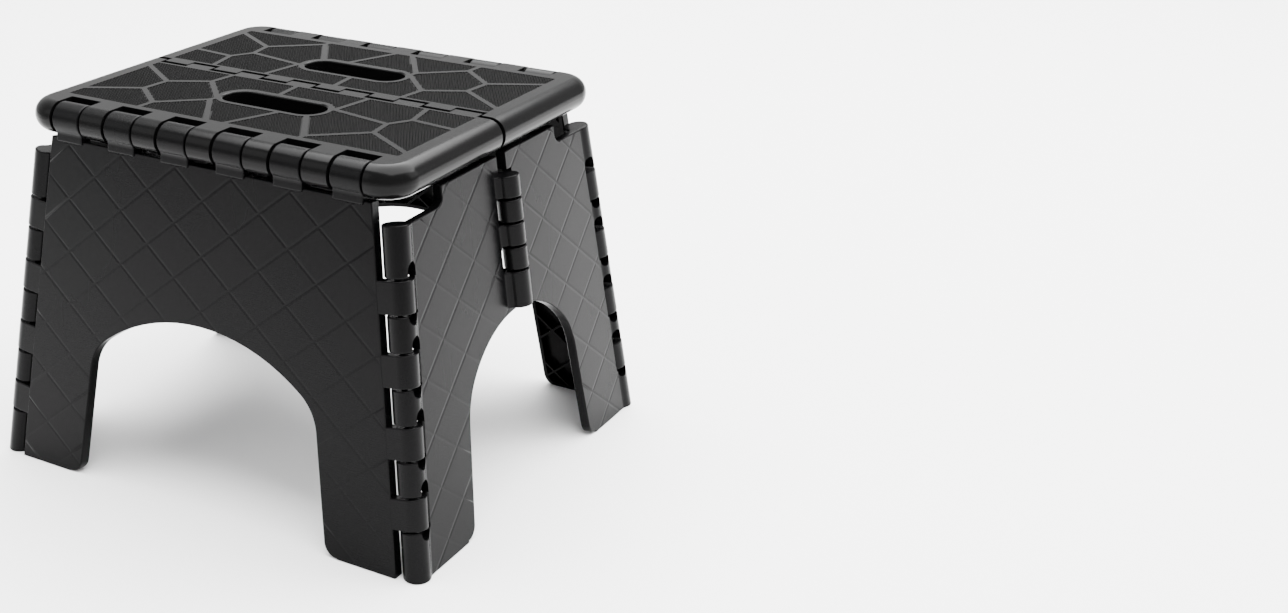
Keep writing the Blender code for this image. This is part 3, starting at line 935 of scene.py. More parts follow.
@dataclass
class SidePanel:
    """Half of a side: corner barrels, half an arch, and every other middle knuckle."""

    layout: Layout
    lattice: Lattice
    hand: int
    arch: Arch = Arch(apex=0.1140, crown=0.070, corner=0.045, inner=0.0723, foot=0.008)
    face: float = 0.0061
    thickness: float = 0.0062
    skin: float = 0.0024
    flange: float = 0.0030
    top: float = 0.206
    edge_round: float = 0.0008
    scoop_floor: float = 0.195
    scoop_inner: float = 0.064
    scoop_round: float = 0.006
    bore: float = 0.00255
    open_bore: float = 0.0044
    barrel: float = 0.0079
    barrel_cove: float = 0.0060
    notch_height: float = 0.0198
    notch_reach: float = 0.0093
    corner_levels: Tuple[float, ...] = (0.1575, 0.1175, 0.0775, 0.0375)
    knuckle: float = 0.00725
    knuckle_x: float = 0.00875
    knuckle_cove: float = 0.0040
    knuckle_levels: Tuple[float, ...] = (0.1950, 0.1808, 0.1666, 0.1524, 0.1382, 0.1150)
    knuckle_reach: float = 0.0102
    knuckle_back: float = 7.9
    own_gap: float = 0.0015
    top_gap: float = 0.0050
    level_gap: float = 0.0005
    knuckle_count: int = 5
    cut_low: float = 0.11
    barrel_round: float = 0.0009
    barrel_gap: float = 0.0003
    barrel_stand: float = 0.001
    knuckle_round: float = 0.0008
    corner_bore_span: Point = (0.007, 0.189)
    middle_bore_span: Point = (0.118, 0.1935)
    end_arch: Mouth = Mouth(inside=0.0, radius=0.0046, rise=0.0040, shift=0.0022)
    sight_hole: Mouth = Mouth(inside=-0.02, radius=0.0022, rise=0.0036, shift=0.0047)
    top_scoop: Mouth = Mouth(inside=0.0030, radius=0.0046, rise=0.0008, shift=0.0012)

    @property
    def rise(self) -> float:
        """Distance up the panel for each unit of height."""
        return 1 / math.cos(self.layout.side_splay)

    def corner(self, height: float) -> Vector:
        """Return the corner axis point at a height, on the half in front of the middle."""
        return Vector((0.0, math.tan(self.layout.leg_splay) * height, height * self.rise))

    def middle(self, height: float) -> Vector:
        """Return the middle axis point at a height, on the half in front of the middle."""
        return Vector((self.knuckle_x, self.layout.foot_y, height * self.rise))

    def model(self) -> Item:
        """Model the panel in its own frame, first in front of the middle, then mirrored if need be.

        Returns:
            The modelled moulding.
        """
        panel = self.slab()
        self.hollow(panel)
        crossing = (self.layout.foot_y, CROSSING_HEIGHT)
        for rods in self.lattice.grooves(Plane.YZ, crossing, self.face + self.lattice.stand_off):
            combine(panel, Cut.AWAY, [rods], crossed=True)
        self.notch(panel)
        parts = [self.corner_barrel(low, high) for low, high in self.barrel_levels()]
        parts += [self.middle_knuckle(i) for i in range(self.hand < 0, self.knuckle_count, 2)]
        combine(panel, Cut.ON, parts, crossed=True)
        combine(panel, Cut.AWAY, self.lead_ins(), crossed=True)
        middle_bore = self.bore if self.hand > 0 else self.open_bore
        corner_ends = [self.corner(height) for height in self.corner_bore_span]
        middle_ends = [self.middle(height) for height in self.middle_bore_span]
        combine(panel, Cut.AWAY, [
            rod("bore", *corner_ends, self.bore, BORE_SIDES),
            rod("bore", *middle_ends, middle_bore, BORE_SIDES),
        ])
        return panel if self.hand > 0 else mirrored(panel, 1)

    def slab(self) -> Item:
        """Model the plain panel with its scoop, half arch and rounded edges.

        Returns:
            The plain moulding.
        """
        below, middle, rise = self.layout.below_floor, self.layout.foot_y, self.rise
        start, scoop_end = self.corner(-below), self.corner(self.scoop_floor)
        step = middle - self.scoop_inner
        sketch = Sketch("side_panel", Plane.YZ, (start.y, start.z), self.face - self.thickness)
        self.arch.climb(sketch, middle, 0.0, below)
        self.arch.cross(sketch, middle, 0.0, 90 - self.arch.crown_angle())
        floor = self.scoop_floor * rise
        sketch.line((middle, self.top * rise), (step, self.top * rise), (step, floor + self.scoop_round))
        sketch.arc((step - self.scoop_round, floor + self.scoop_round), -90, 6)
        sketch.line((scoop_end.y, floor))
        panel = sketch.thicken(self.face)
        return round_edges(panel, self.edge_round, 3, ends_at(0, self.face - self.thickness, self.face))

    def hollow(self, panel: Item) -> None:
        """Sink the ribbed pocket into the panel's inner side.

        Args:
            panel: The panel to change.
        """
        border, depth = self.flange - self.edge_round, self.thickness - self.skin
        pocket = pocket_in(panel, Vector((-1, 0, 0)), 0.002, border, depth)
        near, far, middle = self.face - self.thickness - OVERRUN, self.face, self.layout.foot_y
        keep = self.knuckle_reach + self.flange
        below, above = -5 * OVERRUN, self.top + 2 * OVERRUN
        helpers = [
            self.lattice.bars(Plane.YZ, (middle, CROSSING_HEIGHT), near, far),
            block("sill", (near, -WIDE, 2 * below), (far, WIDE, self.flange)),
            block("post", (near, middle - keep, self.cut_low + below), (far, middle - below, 0.22)),
            rod("corner_wall", self.corner(below), self.corner(above), self.notch_reach + self.flange, 24),
        ]
        combine(pocket, Cut.AWAY, helpers, crossed=True)
        combine(panel, Cut.AWAY, [pocket])

    def notch(self, panel: Item) -> None:
        """Cut room for the leg's fingers and for the neighbour's knuckles.

        Args:
            panel: The panel to change.
        """
        half = self.notch_height / 2
        cuts = [
            rod("notch", self.corner(z - half), self.corner(z + half), self.notch_reach, 40)
            for z in self.corner_levels
        ]
        for i in range(self.knuckle_count):
            own = (i % 2 == 0) == (self.hand > 0)
            spare = 0.0 if own else self.level_gap
            low = self.cut_low if i == self.knuckle_count - 1 else self.knuckle_levels[i + 1] - spare
            reach = self.own_gap if own else self.knuckle_reach
            cuts.append(self.middle_cut(low, self.knuckle_levels[i] + spare, reach))
        low, high = self.knuckle_levels[0] + 2 * BEHIND_FACE, self.top + 5 * OVERRUN
        cuts.append(self.middle_cut(low, high, self.top_gap))
        combine(panel, Cut.AWAY, cuts, crossed=True)

    def middle_cut(self, low: float, high: float, reach: float) -> Item:
        """Model a block that cuts the panel back from the middle between two heights.

        Args:
            low: The lower end.
            high: The upper end.
            reach: How far back it cuts.

        Returns:
            The block.
        """
        middle, past = self.layout.foot_y, 5 * OVERRUN
        corner = (-past, middle - reach, low * self.rise)
        return block("cut", corner, (2 * past, middle + past, high * self.rise))

    def barrel_levels(self) -> List[Tuple[float, float]]:
        """Return the height range of each corner barrel, top to bottom.

        Returns:
            The low and high end of each.
        """
        half = self.notch_height / 2 + self.barrel_gap
        highs = [self.scoop_floor + self.barrel_stand] + [z - half for z in self.corner_levels]
        lows = [z + half for z in self.corner_levels] + [-self.layout.below_floor]
        return list(zip(lows, highs))

    def along_corner(self) -> Matrix:
        """Return the corner axis frame: Z along it, X outwards.

        Returns:
            The turn.
        """
        up = (self.corner(1.0) - self.corner(0.0)).normalized()
        out = Vector((1, 0, 0))
        return facing(out, up.cross(out), up)

    def corner_barrel(self, low: float, high: float) -> Item:
        """Model a barrel round the corner pin that runs out into the panel's face.

        Args:
            low: The lower end.
            high: The upper end.

        Returns:
            The barrel.
        """
        stretch = self.corner(1.0).length
        face = self.face - BEHIND_FACE
        (cove_x, cove_y), meet = cove(self.barrel, self.barrel_cove, face)
        back = self.face - self.thickness + 2 * BEHIND_FACE
        root = cove_y + 1.5 * OVERRUN
        end = 360 - math.degrees(math.acos(back / self.barrel))
        sketch = Sketch("barrel", Plane.XY, (face - 2 * BEHIND_FACE, root), low * stretch)
        sketch.line((face, cove_y))
        sketch.arc((cove_x, cove_y), meet, 6)
        sketch.arc((0.0, 0.0), -(meet + end), 44)
        sketch.line((back, root))
        barrel = sketch.thicken(high * stretch)
        round_edges(barrel, self.barrel_round, 3, ends_at(2, low * stretch, high * stretch))
        return settle(barrel, self.along_corner())

    def lead_ins(self) -> List[Item]:
        """Model the cutters for the rounded mouths at the barrels' ends, where the pin shows.

        Returns:
            The cutters.
        """
        stretch = self.corner(1.0).length
        made = []
        for low, high in self.barrel_levels():
            if low > 0:
                made.append(self.mouth(low * stretch, 1, self.end_arch))
                made.append(self.mouth(low * stretch, 1, self.sight_hole))
            if high < self.scoop_floor:
                made.append(self.mouth(high * stretch, -1, self.top_scoop))
        return made

    def mouth(self, level: float, up: int, size: Mouth) -> Item:
        """Model the cutter for one mouth: an arched slot that opens at a barrel's end.

        Args:
            level: Where the barrel ends, along the corner axis.
            up: 1 if the mouth goes up from there, -1 if it goes down.
            size: The mouth's sizes.

        Returns:
            The cutter.
        """
        base, spring = level - up * OVERRUN, level + up * size.rise
        left, right = size.shift - size.radius, size.shift + size.radius
        sketch = Sketch("mouth", Plane.YZ, (left, base), size.inside)
        sketch.line((left, spring))
        sketch.arc((size.shift, spring), -180 * up, 14)
        sketch.line((right, base))
        return settle(sketch.thicken(10 * OVERRUN), self.along_corner())

    def middle_knuckle(self, i: int) -> Item:
        """Model one knuckle round the middle pin that runs out into the panel's face.

        Args:
            i: Which knuckle it is, from the top.

        Returns:
            The knuckle.
        """
        room = 1.3 * self.level_gap
        low = (self.knuckle_levels[i + 1] + room) * self.rise
        high = (self.knuckle_levels[i] - room) * self.rise
        face = self.face - BEHIND_FACE - self.knuckle_x
        (cove_x, cove_y), meet = cove(self.knuckle, self.knuckle_cove, face)
        back, root = -self.knuckle * math.cos(math.radians(self.knuckle_back)), -cove_y - OVERRUN
        sketch = Sketch("knuckle", Plane.XY, (back, root), low)
        sketch.line((face - 2 * BEHIND_FACE, root), (face, -cove_y))
        sketch.arc((cove_x, -cove_y), -meet, 6)
        sketch.arc((0.0, 0.0), 180 + self.knuckle_back + meet, 40)
        knuckle = sketch.thicken(high)
        round_edges(knuckle, self.knuckle_round, 3, ends_at(2, low, high))
        return settle(knuckle, Matrix.Translation((self.knuckle_x, self.layout.foot_y, 0)))


@dataclass
class StepPlate:
    """Half of the step: a plate with a bullnose rim, a hand slot and tabs along the middle seam."""

    layout: Layout
    half_width: float = 0.133
    half_depth: float = 0.112
    low: float = 0.0025
    high: float = 0.022
    corner_round: float = 0.020
    rim_round: float = 0.0096
    skin: float = 0.0035
    tab_pitch: float = 0.0194
    tab_depth: float = 0.0045
    tab_room: float = 0.0034
    tab_count: int = 7
    seam_gap: float = 0.0012
    slot_y: float = -0.0408
    slot_round: float = 0.0112
    slot_reach: float = 0.024
    slot_wall: float = 0.0025
    slot_lip: float = 0.0040
    finger_width: float = 0.0194
    finger_pitch: float = 0.0394
    finger_count: int = 6
    finger_gap: float = 0.0018
    notch_reach: float = 0.0104
    knuckle: float = 0.0050
    bore: float = 0.00255
    columns: int = 8
    rows: Tuple[Point, ...] = ((-0.0880, -0.0550), (-0.0526, -0.0090))
    pocket_border: float = 0.0125
    rib: float = 0.0020
    recess: float = 0.00035
    slot_edge_round: float = 0.0012
    seam_edge_round: float = 0.0005
    rim_zone: float = -0.02
    seam_zone: float = -0.008
    web_half: float = 0.0038
    web_low: float = -0.0003
    step_back: float = 0.0002
    top_bore_half: float = 0.1185
    seam_bore_half: float = 0.12

    def model(self) -> Item:
        """Model the front plate with the seam axis as its origin.

        Returns:
            The modelled moulding.
        """
        plate = self.slab()
        combine(plate, Cut.AWAY, [self.pockets()])
        combine(plate, Cut.AWAY, [self.stadium(self.slot_round, self.low - OVERRUN, self.high + OVERRUN)])
        round_edges(plate, self.slot_edge_round, 4, self.on_slot_edge)
        combine(plate, Cut.AWAY, self.notches())
        combine(plate, Cut.AWAY, GripField(self).recesses(), crossed=True)
        combine(plate, Cut.ON, self.knuckles(), crossed=True)
        pin = Vector((0, -self.layout.top_pin_y, self.layout.top_pin_z - self.layout.seam_z))
        top_end, seam_end = Vector((self.top_bore_half, 0, 0)), Vector((self.seam_bore_half, 0, 0))
        return combine(plate, Cut.AWAY, [
            rod("bore", pin - top_end, pin + top_end, self.bore, BORE_SIDES),
            rod("bore", -seam_end, seam_end, self.bore, BORE_SIDES),
        ])

    def slab(self) -> Item:
        """Model the plain half plate with its tabs and bullnose rim.

        Returns:
            The plain moulding.
        """
        wide, deep, turn = self.half_width, self.half_depth, self.corner_round
        edge = -self.tab_depth - self.seam_gap / 2
        sketch = Sketch("step_plate", Plane.XY, (wide, edge), self.low)
        for k in range(self.tab_count - 1, -self.tab_count - 1, -1):
            tab = k % 2 == 1
            side = self.seam_gap / 2 if tab else -self.seam_gap / 2
            y = self.tab_depth + self.seam_gap / 2 - self.tab_room if tab else edge
            start = min((k + 1) * self.tab_pitch - side, wide)
            end = max(k * self.tab_pitch + side, -wide)
            if start < wide:
                sketch.line((start, y))
            sketch.line((end, y))
        sketch.line((-wide, turn - deep))
        sketch.arc((turn - wide, turn - deep), 90, 12)
        sketch.line((wide - turn, -deep))
        sketch.arc((wide - turn, turn - deep), 90, 12)
        plate = sketch.thicken(self.high)

        def rim(edge: Edge) -> bool:
            """Say whether an edge is on the outer rim, above or below.

            Args:
                edge: The edge.

            Returns:
                Whether it does.
            """
            level = ends_at(2, self.low, self.high)(edge)
            on_side = all(abs(abs(vert.co.x) - wide) < SAME for vert in edge.verts)
            return level and (on_side or all(vert.co.y < self.rim_zone for vert in edge.verts))
        round_edges(plate, self.rim_round, 9, rim)

        def seam(edge: Edge) -> bool:
            """Say whether an edge runs along the seam on top."""
            return ends_at(2, self.high)(edge) and all(vert.co.y > self.seam_zone for vert in edge.verts)
        return round_edges(plate, self.seam_edge_round, 2, seam)

    def stadium(self, radius: float, low: float, high: float) -> Item:
        """Model a block of the hand slot's shape.

        Args:
            radius: The radius of its round ends.
            low: Its underside.
            high: Its top.

        Returns:
            The block.
        """
        reach, y = self.slot_reach, self.slot_y
        sketch = Sketch("slot", Plane.XY, (-reach, y - radius), low)
        sketch.line((reach, y - radius))
        sketch.arc((reach, y), 180, 24)
        sketch.line((-reach, y + radius))
        sketch.arc((-reach, y), 180, 24)
        return sketch.thicken(high)

    def on_slot_edge(self, edge: Edge) -> bool:
        """Say whether an edge runs round the hand slot on top.

        Args:
            edge: The edge.

        Returns:
            Whether it does.
        """
        def near(vert: bmesh.types.BMVert) -> bool:
            """Say whether a point lies on the slot's outline."""
            off = max(0.0, abs(vert.co.x) - self.slot_reach)
            return abs(math.hypot(off, vert.co.y - self.slot_y) - self.slot_round) < 20 * SAME
        return ends_at(2, self.high)(edge) and all(near(vert) for vert in edge.verts)

    def pockets(self) -> Item:
        """Model the hollows between the ribs underneath, clear of the slot's wall.

        Returns:
            The cutters.
        """
        half = self.half_width - self.pocket_border
        floor, roof = self.low - OVERRUN / 2, self.high - self.skin
        width = (2 * half - (self.columns - 1) * self.rib) / self.columns
        made = []
        for i in range(self.columns):
            x = -half + i * (width + self.rib)
            for near, far in self.rows:
                made.append(block("hollow", (x, near, floor), (x + width, far, roof)))
        hollows = joined("hollows", made)
        wall = self.stadium(self.slot_round + self.slot_wall, self.low - 1.5 * OVERRUN, self.high)
        return combine(hollows, Cut.AWAY, [wall])

    def notches(self) -> List[Item]:
        """Model the cutters for the notches round the leg panel's fingers.

        Returns:
            The cutters.
        """
        half = self.finger_width / 2 + self.finger_gap
        back = -self.layout.top_pin_y + self.notch_reach
        low, high = self.low - 5 * OVERRUN, self.high + 5 * OVERRUN
        places = [(i - (self.finger_count - 1) / 2) * self.finger_pitch for i in range(self.finger_count)]
        return [block("notch", (x - half, -WIDE, low), (x + half, back, high)) for x in places]

    def knuckles(self) -> List[Item]:
        """Model the rings under the tabs, round the seam pin.

        Returns:
            The rings and the webs that hold them.
        """
        made = []
        for k in range(-self.tab_count + 2, self.tab_count - 1, 2):
            low = k * self.tab_pitch + self.seam_gap / 2 + self.step_back
            high = (k + 1) * self.tab_pitch - self.seam_gap / 2 - self.step_back
            made.append(rod("ring", Vector((low, 0, 0)), Vector((high, 0, 0)), self.knuckle, 36))
            corner = (low + self.step_back, -self.web_half, self.web_low)
            made.append(block("web", corner, (high - self.step_back, self.web_half, self.low + OVERRUN)))
        return made


@dataclass
class GripField:
    """The studded patches of a plate, parted by smooth lines."""

    plate: StepPlate
    half_width: float = 0.1165
    near: float = -0.0872
    far: float = -0.0072
    seam: float = 0.0017
    stud_x: float = 0.0010
    stud_y: float = 0.0015
    stud_inset: float = 0.00020
    stud_height: float = 0.00032
    base: float = 0.00030
    lift: float = 0.00002
    lip_room: float = 0.0006
    edge_room: float = 0.0004
    seeds: Tuple[Point, ...] = (
        (-0.088, -0.079), (-0.036, -0.083), (0.024, -0.078), (0.082, -0.084),
        (-0.106, -0.046), (-0.064, -0.050), (-0.010, -0.064), (0.058, -0.055), (0.104, -0.048),
        (-0.084, -0.014), (-0.034, -0.021), (0.018, -0.016), (0.064, -0.023), (0.108, -0.014),
    )

    def cell(self, seed: Point) -> List[Point]:
        """Return the outline of one patch: what is nearer to its seed than to the others.

        Args:
            seed: The patch's own seed.

        Returns:
            The corners, anticlockwise.
        """
        wide, near, far = self.half_width, self.near, self.far
        outline = [Vector(p) for p in ((-wide, near), (wide, near), (wide, far), (-wide, far))]
        here = Vector(seed)
        for other in self.seeds:
            if other == seed:
                continue
            away = (Vector(other) - here).normalized()
            limit = away.dot((here + Vector(other)) / 2) - self.seam
            outline = self.trim(outline, away, limit)
        return [tuple(p) for p in outline]

    @staticmethod
    def trim(outline: List[Vector], away: Vector, limit: float) -> List[Vector]:
        """Cut an outline off past a line.

        Args:
            outline: The corners to trim.
            away: The line's normal.
            limit: How far along the normal the line is.

        Returns:
            The corners that are left.
        """
        kept = []
        for i, point in enumerate(outline):
            last = outline[i - 1]
            here, there = away.dot(point) - limit, away.dot(last) - limit
            if here * there < 0:
                kept.append(last.lerp(point, there / (there - here)))
            if here <= 0:
                kept.append(point)
        return kept

    def recesses(self) -> List[Item]:
        """Model the cutters for the shallow recesses that the studs stand in.

        Returns:
            The cutters.
        """
        made = []
        for seed in self.seeds:
            corners = self.cell(seed)
            sketch = Sketch("recess", Plane.XY, corners[0], self.plate.high - self.plate.recess)
            sketch.line(*corners[1:])
            made.append(sketch.thicken(self.plate.high + OVERRUN / 2))
        patches = joined("patches", made)
        lip = self.plate.slot_round + self.plate.slot_lip
        combine(patches, Cut.AWAY, [self.plate.stadium(lip, self.plate.low, self.plate.high + OVERRUN)])
        return [patches]

    def covers(self, x: float, y: float, cells: List[List[Point]]) -> bool:
        """Say whether a point is inside a patch and clear of the slot's lip.

        Args:
            x: Where it is along X.
            y: Where it is along Y.
            cells: The patches, each as its corners.

        Returns:
            Whether it is.
        """
        off = max(0.0, abs(x) - self.plate.slot_reach)
        lip = self.plate.slot_round + self.plate.slot_lip + self.lip_room
        if math.hypot(off, y - self.plate.slot_y) < lip:
            return False

        def inside(corners: List[Point]) -> bool:
            """Say whether the point is inside one patch, clear of its edge.

            Args:
                corners: The patch's corners, anticlockwise.

            Returns:
                Whether it is.
            """
            sides = zip(corners, corners[1:] + corners[:1])
            return all(
                (b[0] - a[0]) * (y - a[1]) - (b[1] - a[1]) * (x - a[0]) > self.edge_room * math.dist(a, b)
                for a, b in sides
            )
        return any(inside(corners) for corners in cells)

    def model(self) -> Item:
        """Model the studs: a thin sheet with staggered raised squares, in the plate's frame.

        Returns:
            The modelled moulding.
        """
        leave_edit()
        columns = round(2 * self.half_width / self.stud_x)
        rows = round((self.far - self.near) / self.stud_y)
        level = self.plate.high - self.plate.recess + self.lift
        size = (columns * self.stud_x, rows * self.stud_y, 1.0)
        bpy.ops.mesh.primitive_grid_add(x_subdivisions=columns, y_subdivisions=rows, size=1.0)
        grip = bpy.context.object
        grip.name = "step_grip"
        bpy.ops.object.mode_set(mode="EDIT")
        bpy.ops.transform.resize(value=size)
        bpy.ops.transform.translate(value=(0, (self.near + self.far) / 2, level))
        leave_edit()
        cells = [self.cell(seed) for seed in self.seeds]
        pick(grip, Part.FACE, lambda face: not self.covers(*face.calc_center_median().xy, cells))
        bpy.ops.mesh.delete(type="FACE")
        bpy.ops.mesh.select_all(action="SELECT")
        bpy.ops.mesh.extrude_region_move(TRANSFORM_OT_translate={"value": (0, 0, -self.base)})
        close_outwards()

        def stud(face: Face) -> bool:
            """Say whether a face on top is raised as a stud, in a staggered pattern.

            Args:
                face: The face.

            Returns:
                Whether it does.
            """
            place = face.calc_center_median()
            column = math.floor((place.x + self.half_width) / self.stud_x)
            row = math.floor((place.y - self.near) / self.stud_y)
            return face.normal.z > 0.5 and (column + row) % 2 == 0
        pick(grip, Part.FACE, stud)
        bpy.ops.mesh.inset(thickness=self.stud_inset, depth=self.stud_height, use_individual=True)
        leave_edit()
        return grip


@dataclass
class HingePin:
    """A plain round pin with rounded ends."""

    name: str
    node: str
    start: Vector
    end: Vector
    radius: float = 0.00225
    end_round: float = 0.6

    def model(self) -> Item:
        """Model the pin in place.

        Returns:
            The modelled moulding.
        """
        pin = rod(self.name, self.start, self.end, self.radius, 32)
        along = (self.end - self.start).normalized()

        def rim(edge: Edge) -> bool:
            """Say whether an edge runs round one of the pin's ends."""
            first, second = (vert.co for vert in edge.verts)
            return abs((second - first).dot(along)) < WELD
        return round_edges(pin, self.radius * self.end_round, 5, rim)


# Finishes.

class Group:
    """A shader node group with named inputs and outputs."""

    def __init__(self, name: str, inputs: Sequence[Tuple[str, str, float]], outputs: Sequence[str]) -> None:
        """Make an empty group.

        Args:
            name: The group's name.
            inputs: Each input's name, socket type and value.
            outputs: The names of its number outputs.
        """
        self.tree = bpy.data.node_groups.new(name, "ShaderNodeTree")
        for label, kind, value in inputs:
            socket = self.tree.interface.new_socket(name=label, in_out="INPUT", socket_type=kind)
            if kind == "NodeSocketFloat":
                socket.default_value = value
        for label in outputs:
            self.tree.interface.new_socket(name=label, in_out="OUTPUT", socket_type="NodeSocketFloat")
        self.entry = self.tree.nodes.new("NodeGroupInput")
        self.exit = self.tree.nodes.new("NodeGroupOutput")

    def link(self, source: Socket, target: Socket) -> None:
        """Link two sockets."""
        self.tree.links.new(source, target)


def maths(
    tree: Tree, operation: str, first: object, second: object = 0.0, clamp: bool = False
) -> Socket:
    """Add a Math node.

    Args:
        tree: The tree to add it to.
        operation: What it does.
        first: A socket or a number.
        second: A socket or a number.
        clamp: Whether its result stays between 0 and 1.

    Returns:
        Its output.
    """
    made = tree.nodes.new("ShaderNodeMath")
    made.operation, made.use_clamp = operation, clamp
    for slot, value in zip(made.inputs, (first, second)):
        if isinstance(value, Socket):
            tree.links.new(value, slot)
        else:
            slot.default_value = value
    return made.outputs[0]


def noise(
    tree: Tree, vector: Socket, scale: object, detail: float, roughness: float
) -> Socket:
    """Add a Noise node.

    Args:
        tree: The tree to add it to.
        vector: Where it reads its place.
        scale: A socket or a number.
        detail: The number of its octaves.
        roughness: How strong the fine octaves are.

    Returns:
        Its value output.
    """
    made = tree.nodes.new("ShaderNodeTexNoise")
    tree.links.new(vector, made.inputs["Vector"])
    if isinstance(scale, Socket):
        tree.links.new(scale, made.inputs["Scale"])
    else:
        made.inputs["Scale"].default_value = scale
    made.inputs["Detail"].default_value = detail
    made.inputs["Roughness"].default_value = roughness
    return made.outputs["Fac"]


def moulded_grain() -> Group:
    """Build the grain of a moulded face: fine pits, and slow clouding from the flow of the melt.

    Returns:
        The group.
    """
    group = Group("moulded_grain", [
        ("Vector", "NodeSocketVector", 0.0), ("Pit Scale", "NodeSocketFloat", 1500.0),
        ("Flow Scale", "NodeSocketFloat", 14.0),
    ], ["Pits", "Flow"])
    vector = group.entry.outputs["Vector"]
    pits = noise(group.tree, vector, group.entry.outputs["Pit Scale"], 3.0, 0.6)
    stretch = group.tree.nodes.new("ShaderNodeMapping")
    stretch.inputs["Scale"].default_value = (1.0, 1.0, 0.35)
    group.link(vector, stretch.inputs["Vector"])
    flow = noise(group.tree, stretch.outputs["Vector"], group.entry.outputs["Flow Scale"], 4.0, 0.55)
    group.link(pits, group.exit.inputs["Pits"])
    group.link(flow, group.exit.inputs["Flow"])
    return group


SCRATCH_TURNS = (0.5, 2.1)
SCRATCH_STRETCH = 14.0
SCRATCH_WIDTH = 0.006
PATCH_CONTRAST = 5.0


def handling_marks() -> Group:
    """Build the faint scuffs of handling: short thin scratches inside slow patches.

    Returns:
        The group.
    """
    group = Group("handling_marks", [
        ("Vector", "NodeSocketVector", 0.0), ("Scratch Scale", "NodeSocketFloat", 60.0),
        ("Patch Scale", "NodeSocketFloat", 9.0),
    ], ["Scuffs"])
    vector = group.entry.outputs["Vector"]
    masks = []
    for turn in SCRATCH_TURNS:
        spread = group.tree.nodes.new("ShaderNodeMapping")
        spread.inputs["Rotation"].default_value = (turn, turn * 0.7, turn * 1.3)
        spread.inputs["Scale"].default_value = (1.0, SCRATCH_STRETCH, SCRATCH_STRETCH)
        group.link(vector, spread.inputs["Vector"])
        fine = noise(group.tree, spread.outputs["Vector"], group.entry.outputs["Scratch Scale"], 2.0, 0.5)
        off = maths(group.tree, "ABSOLUTE", maths(group.tree, "SUBTRACT", fine, 0.5))
        masks.append(maths(group.tree, "LESS_THAN", off, SCRATCH_WIDTH))
    lines = maths(group.tree, "MAXIMUM", *masks)
    patch = noise(group.tree, vector, group.entry.outputs["Patch Scale"], 2.0, 0.5)
    patch = maths(group.tree, "SUBTRACT", patch, 0.5)
    patch = maths(group.tree, "MULTIPLY", patch, PATCH_CONTRAST, clamp=True)
    group.link(maths(group.tree, "MULTIPLY", lines, patch), group.exit.inputs["Scuffs"])
    return group


class Slot(Enum):
    """The record's material slots."""

    SATIN = "black_satin"
    TEXTURED = "black_textured"
    GLOSS = "black_gloss"


@dataclass(frozen=True)
class MouldedPlastic:
    """Black polypropylene with the grain, clouding and scuffs of one kind of surface."""

    name: str
    slot: Slot
    colour: Tuple[float, float, float]
    roughness: float
    cloud: float
    pit_depth: float
    specular: float
    pit_scale: float = 1500.0
    darkest: float = 0.86
    palest: float = 1.22
    flow_contrast: float = 1.6
    scuff_tone: float = 0.8
    scuff_roughness: float = 0.14

    def build(self, grain: Group, marks: Group) -> bpy.types.Material:
        """Build the material.

        Args:
            grain: The shared grain group.
            marks: The shared scuff group.

        Returns:
            The material.
        """
        finish = bpy.data.materials.new(self.name)
        finish.use_nodes = True
        tree = finish.node_tree
        shader = tree.nodes["Principled BSDF"]
        shader.inputs["Specular IOR Level"].default_value = self.specular
        place = tree.nodes.new("ShaderNodeTexCoord").outputs["Object"]
        texture, scuffs = tree.nodes.new("ShaderNodeGroup"), tree.nodes.new("ShaderNodeGroup")
        texture.node_tree, scuffs.node_tree = grain.tree, marks.tree
        texture.inputs["Pit Scale"].default_value = self.pit_scale
        tree.links.new(place, texture.inputs["Vector"])
        tree.links.new(place, scuffs.inputs["Vector"])
        flow = maths(tree, "SUBTRACT", texture.outputs["Flow"], 0.5)
        tone = tree.nodes.new("ShaderNodeMix")
        tone.data_type = "RGBA"
        tone.inputs["A"].default_value = (*(c * self.darkest for c in self.colour), 1.0)
        tone.inputs["B"].default_value = (*(c * self.palest for c in self.colour), 1.0)
        worn = maths(tree, "MULTIPLY", scuffs.outputs["Scuffs"], self.scuff_tone)
        clouds = maths(tree, "ADD", maths(tree, "MULTIPLY", flow, self.flow_contrast), 0.5)
        shade = maths(tree, "ADD", clouds, worn, clamp=True)
        tree.links.new(shade, tone.inputs["Factor"])
        tree.links.new(tone.outputs["Result"], shader.inputs["Base Color"])
        gloss = maths(tree, "ADD", maths(tree, "MULTIPLY", flow, self.cloud), self.roughness)
        scratched = maths(tree, "MULTIPLY", scuffs.outputs["Scuffs"], self.scuff_roughness)
        rough = maths(tree, "ADD", gloss, scratched, clamp=True)
        tree.links.new(rough, shader.inputs["Roughness"])
        bump = tree.nodes.new("ShaderNodeBump")
        bump.inputs["Strength"].default_value = 1.0
        bump.inputs["Distance"].default_value = self.pit_depth
        tree.links.new(texture.outputs["Pits"], bump.inputs["Height"])
        tree.links.new(bump.outputs["Normal"], shader.inputs["Normal"])
        finish.diffuse_color = (*self.colour, 1.0)
        return finish


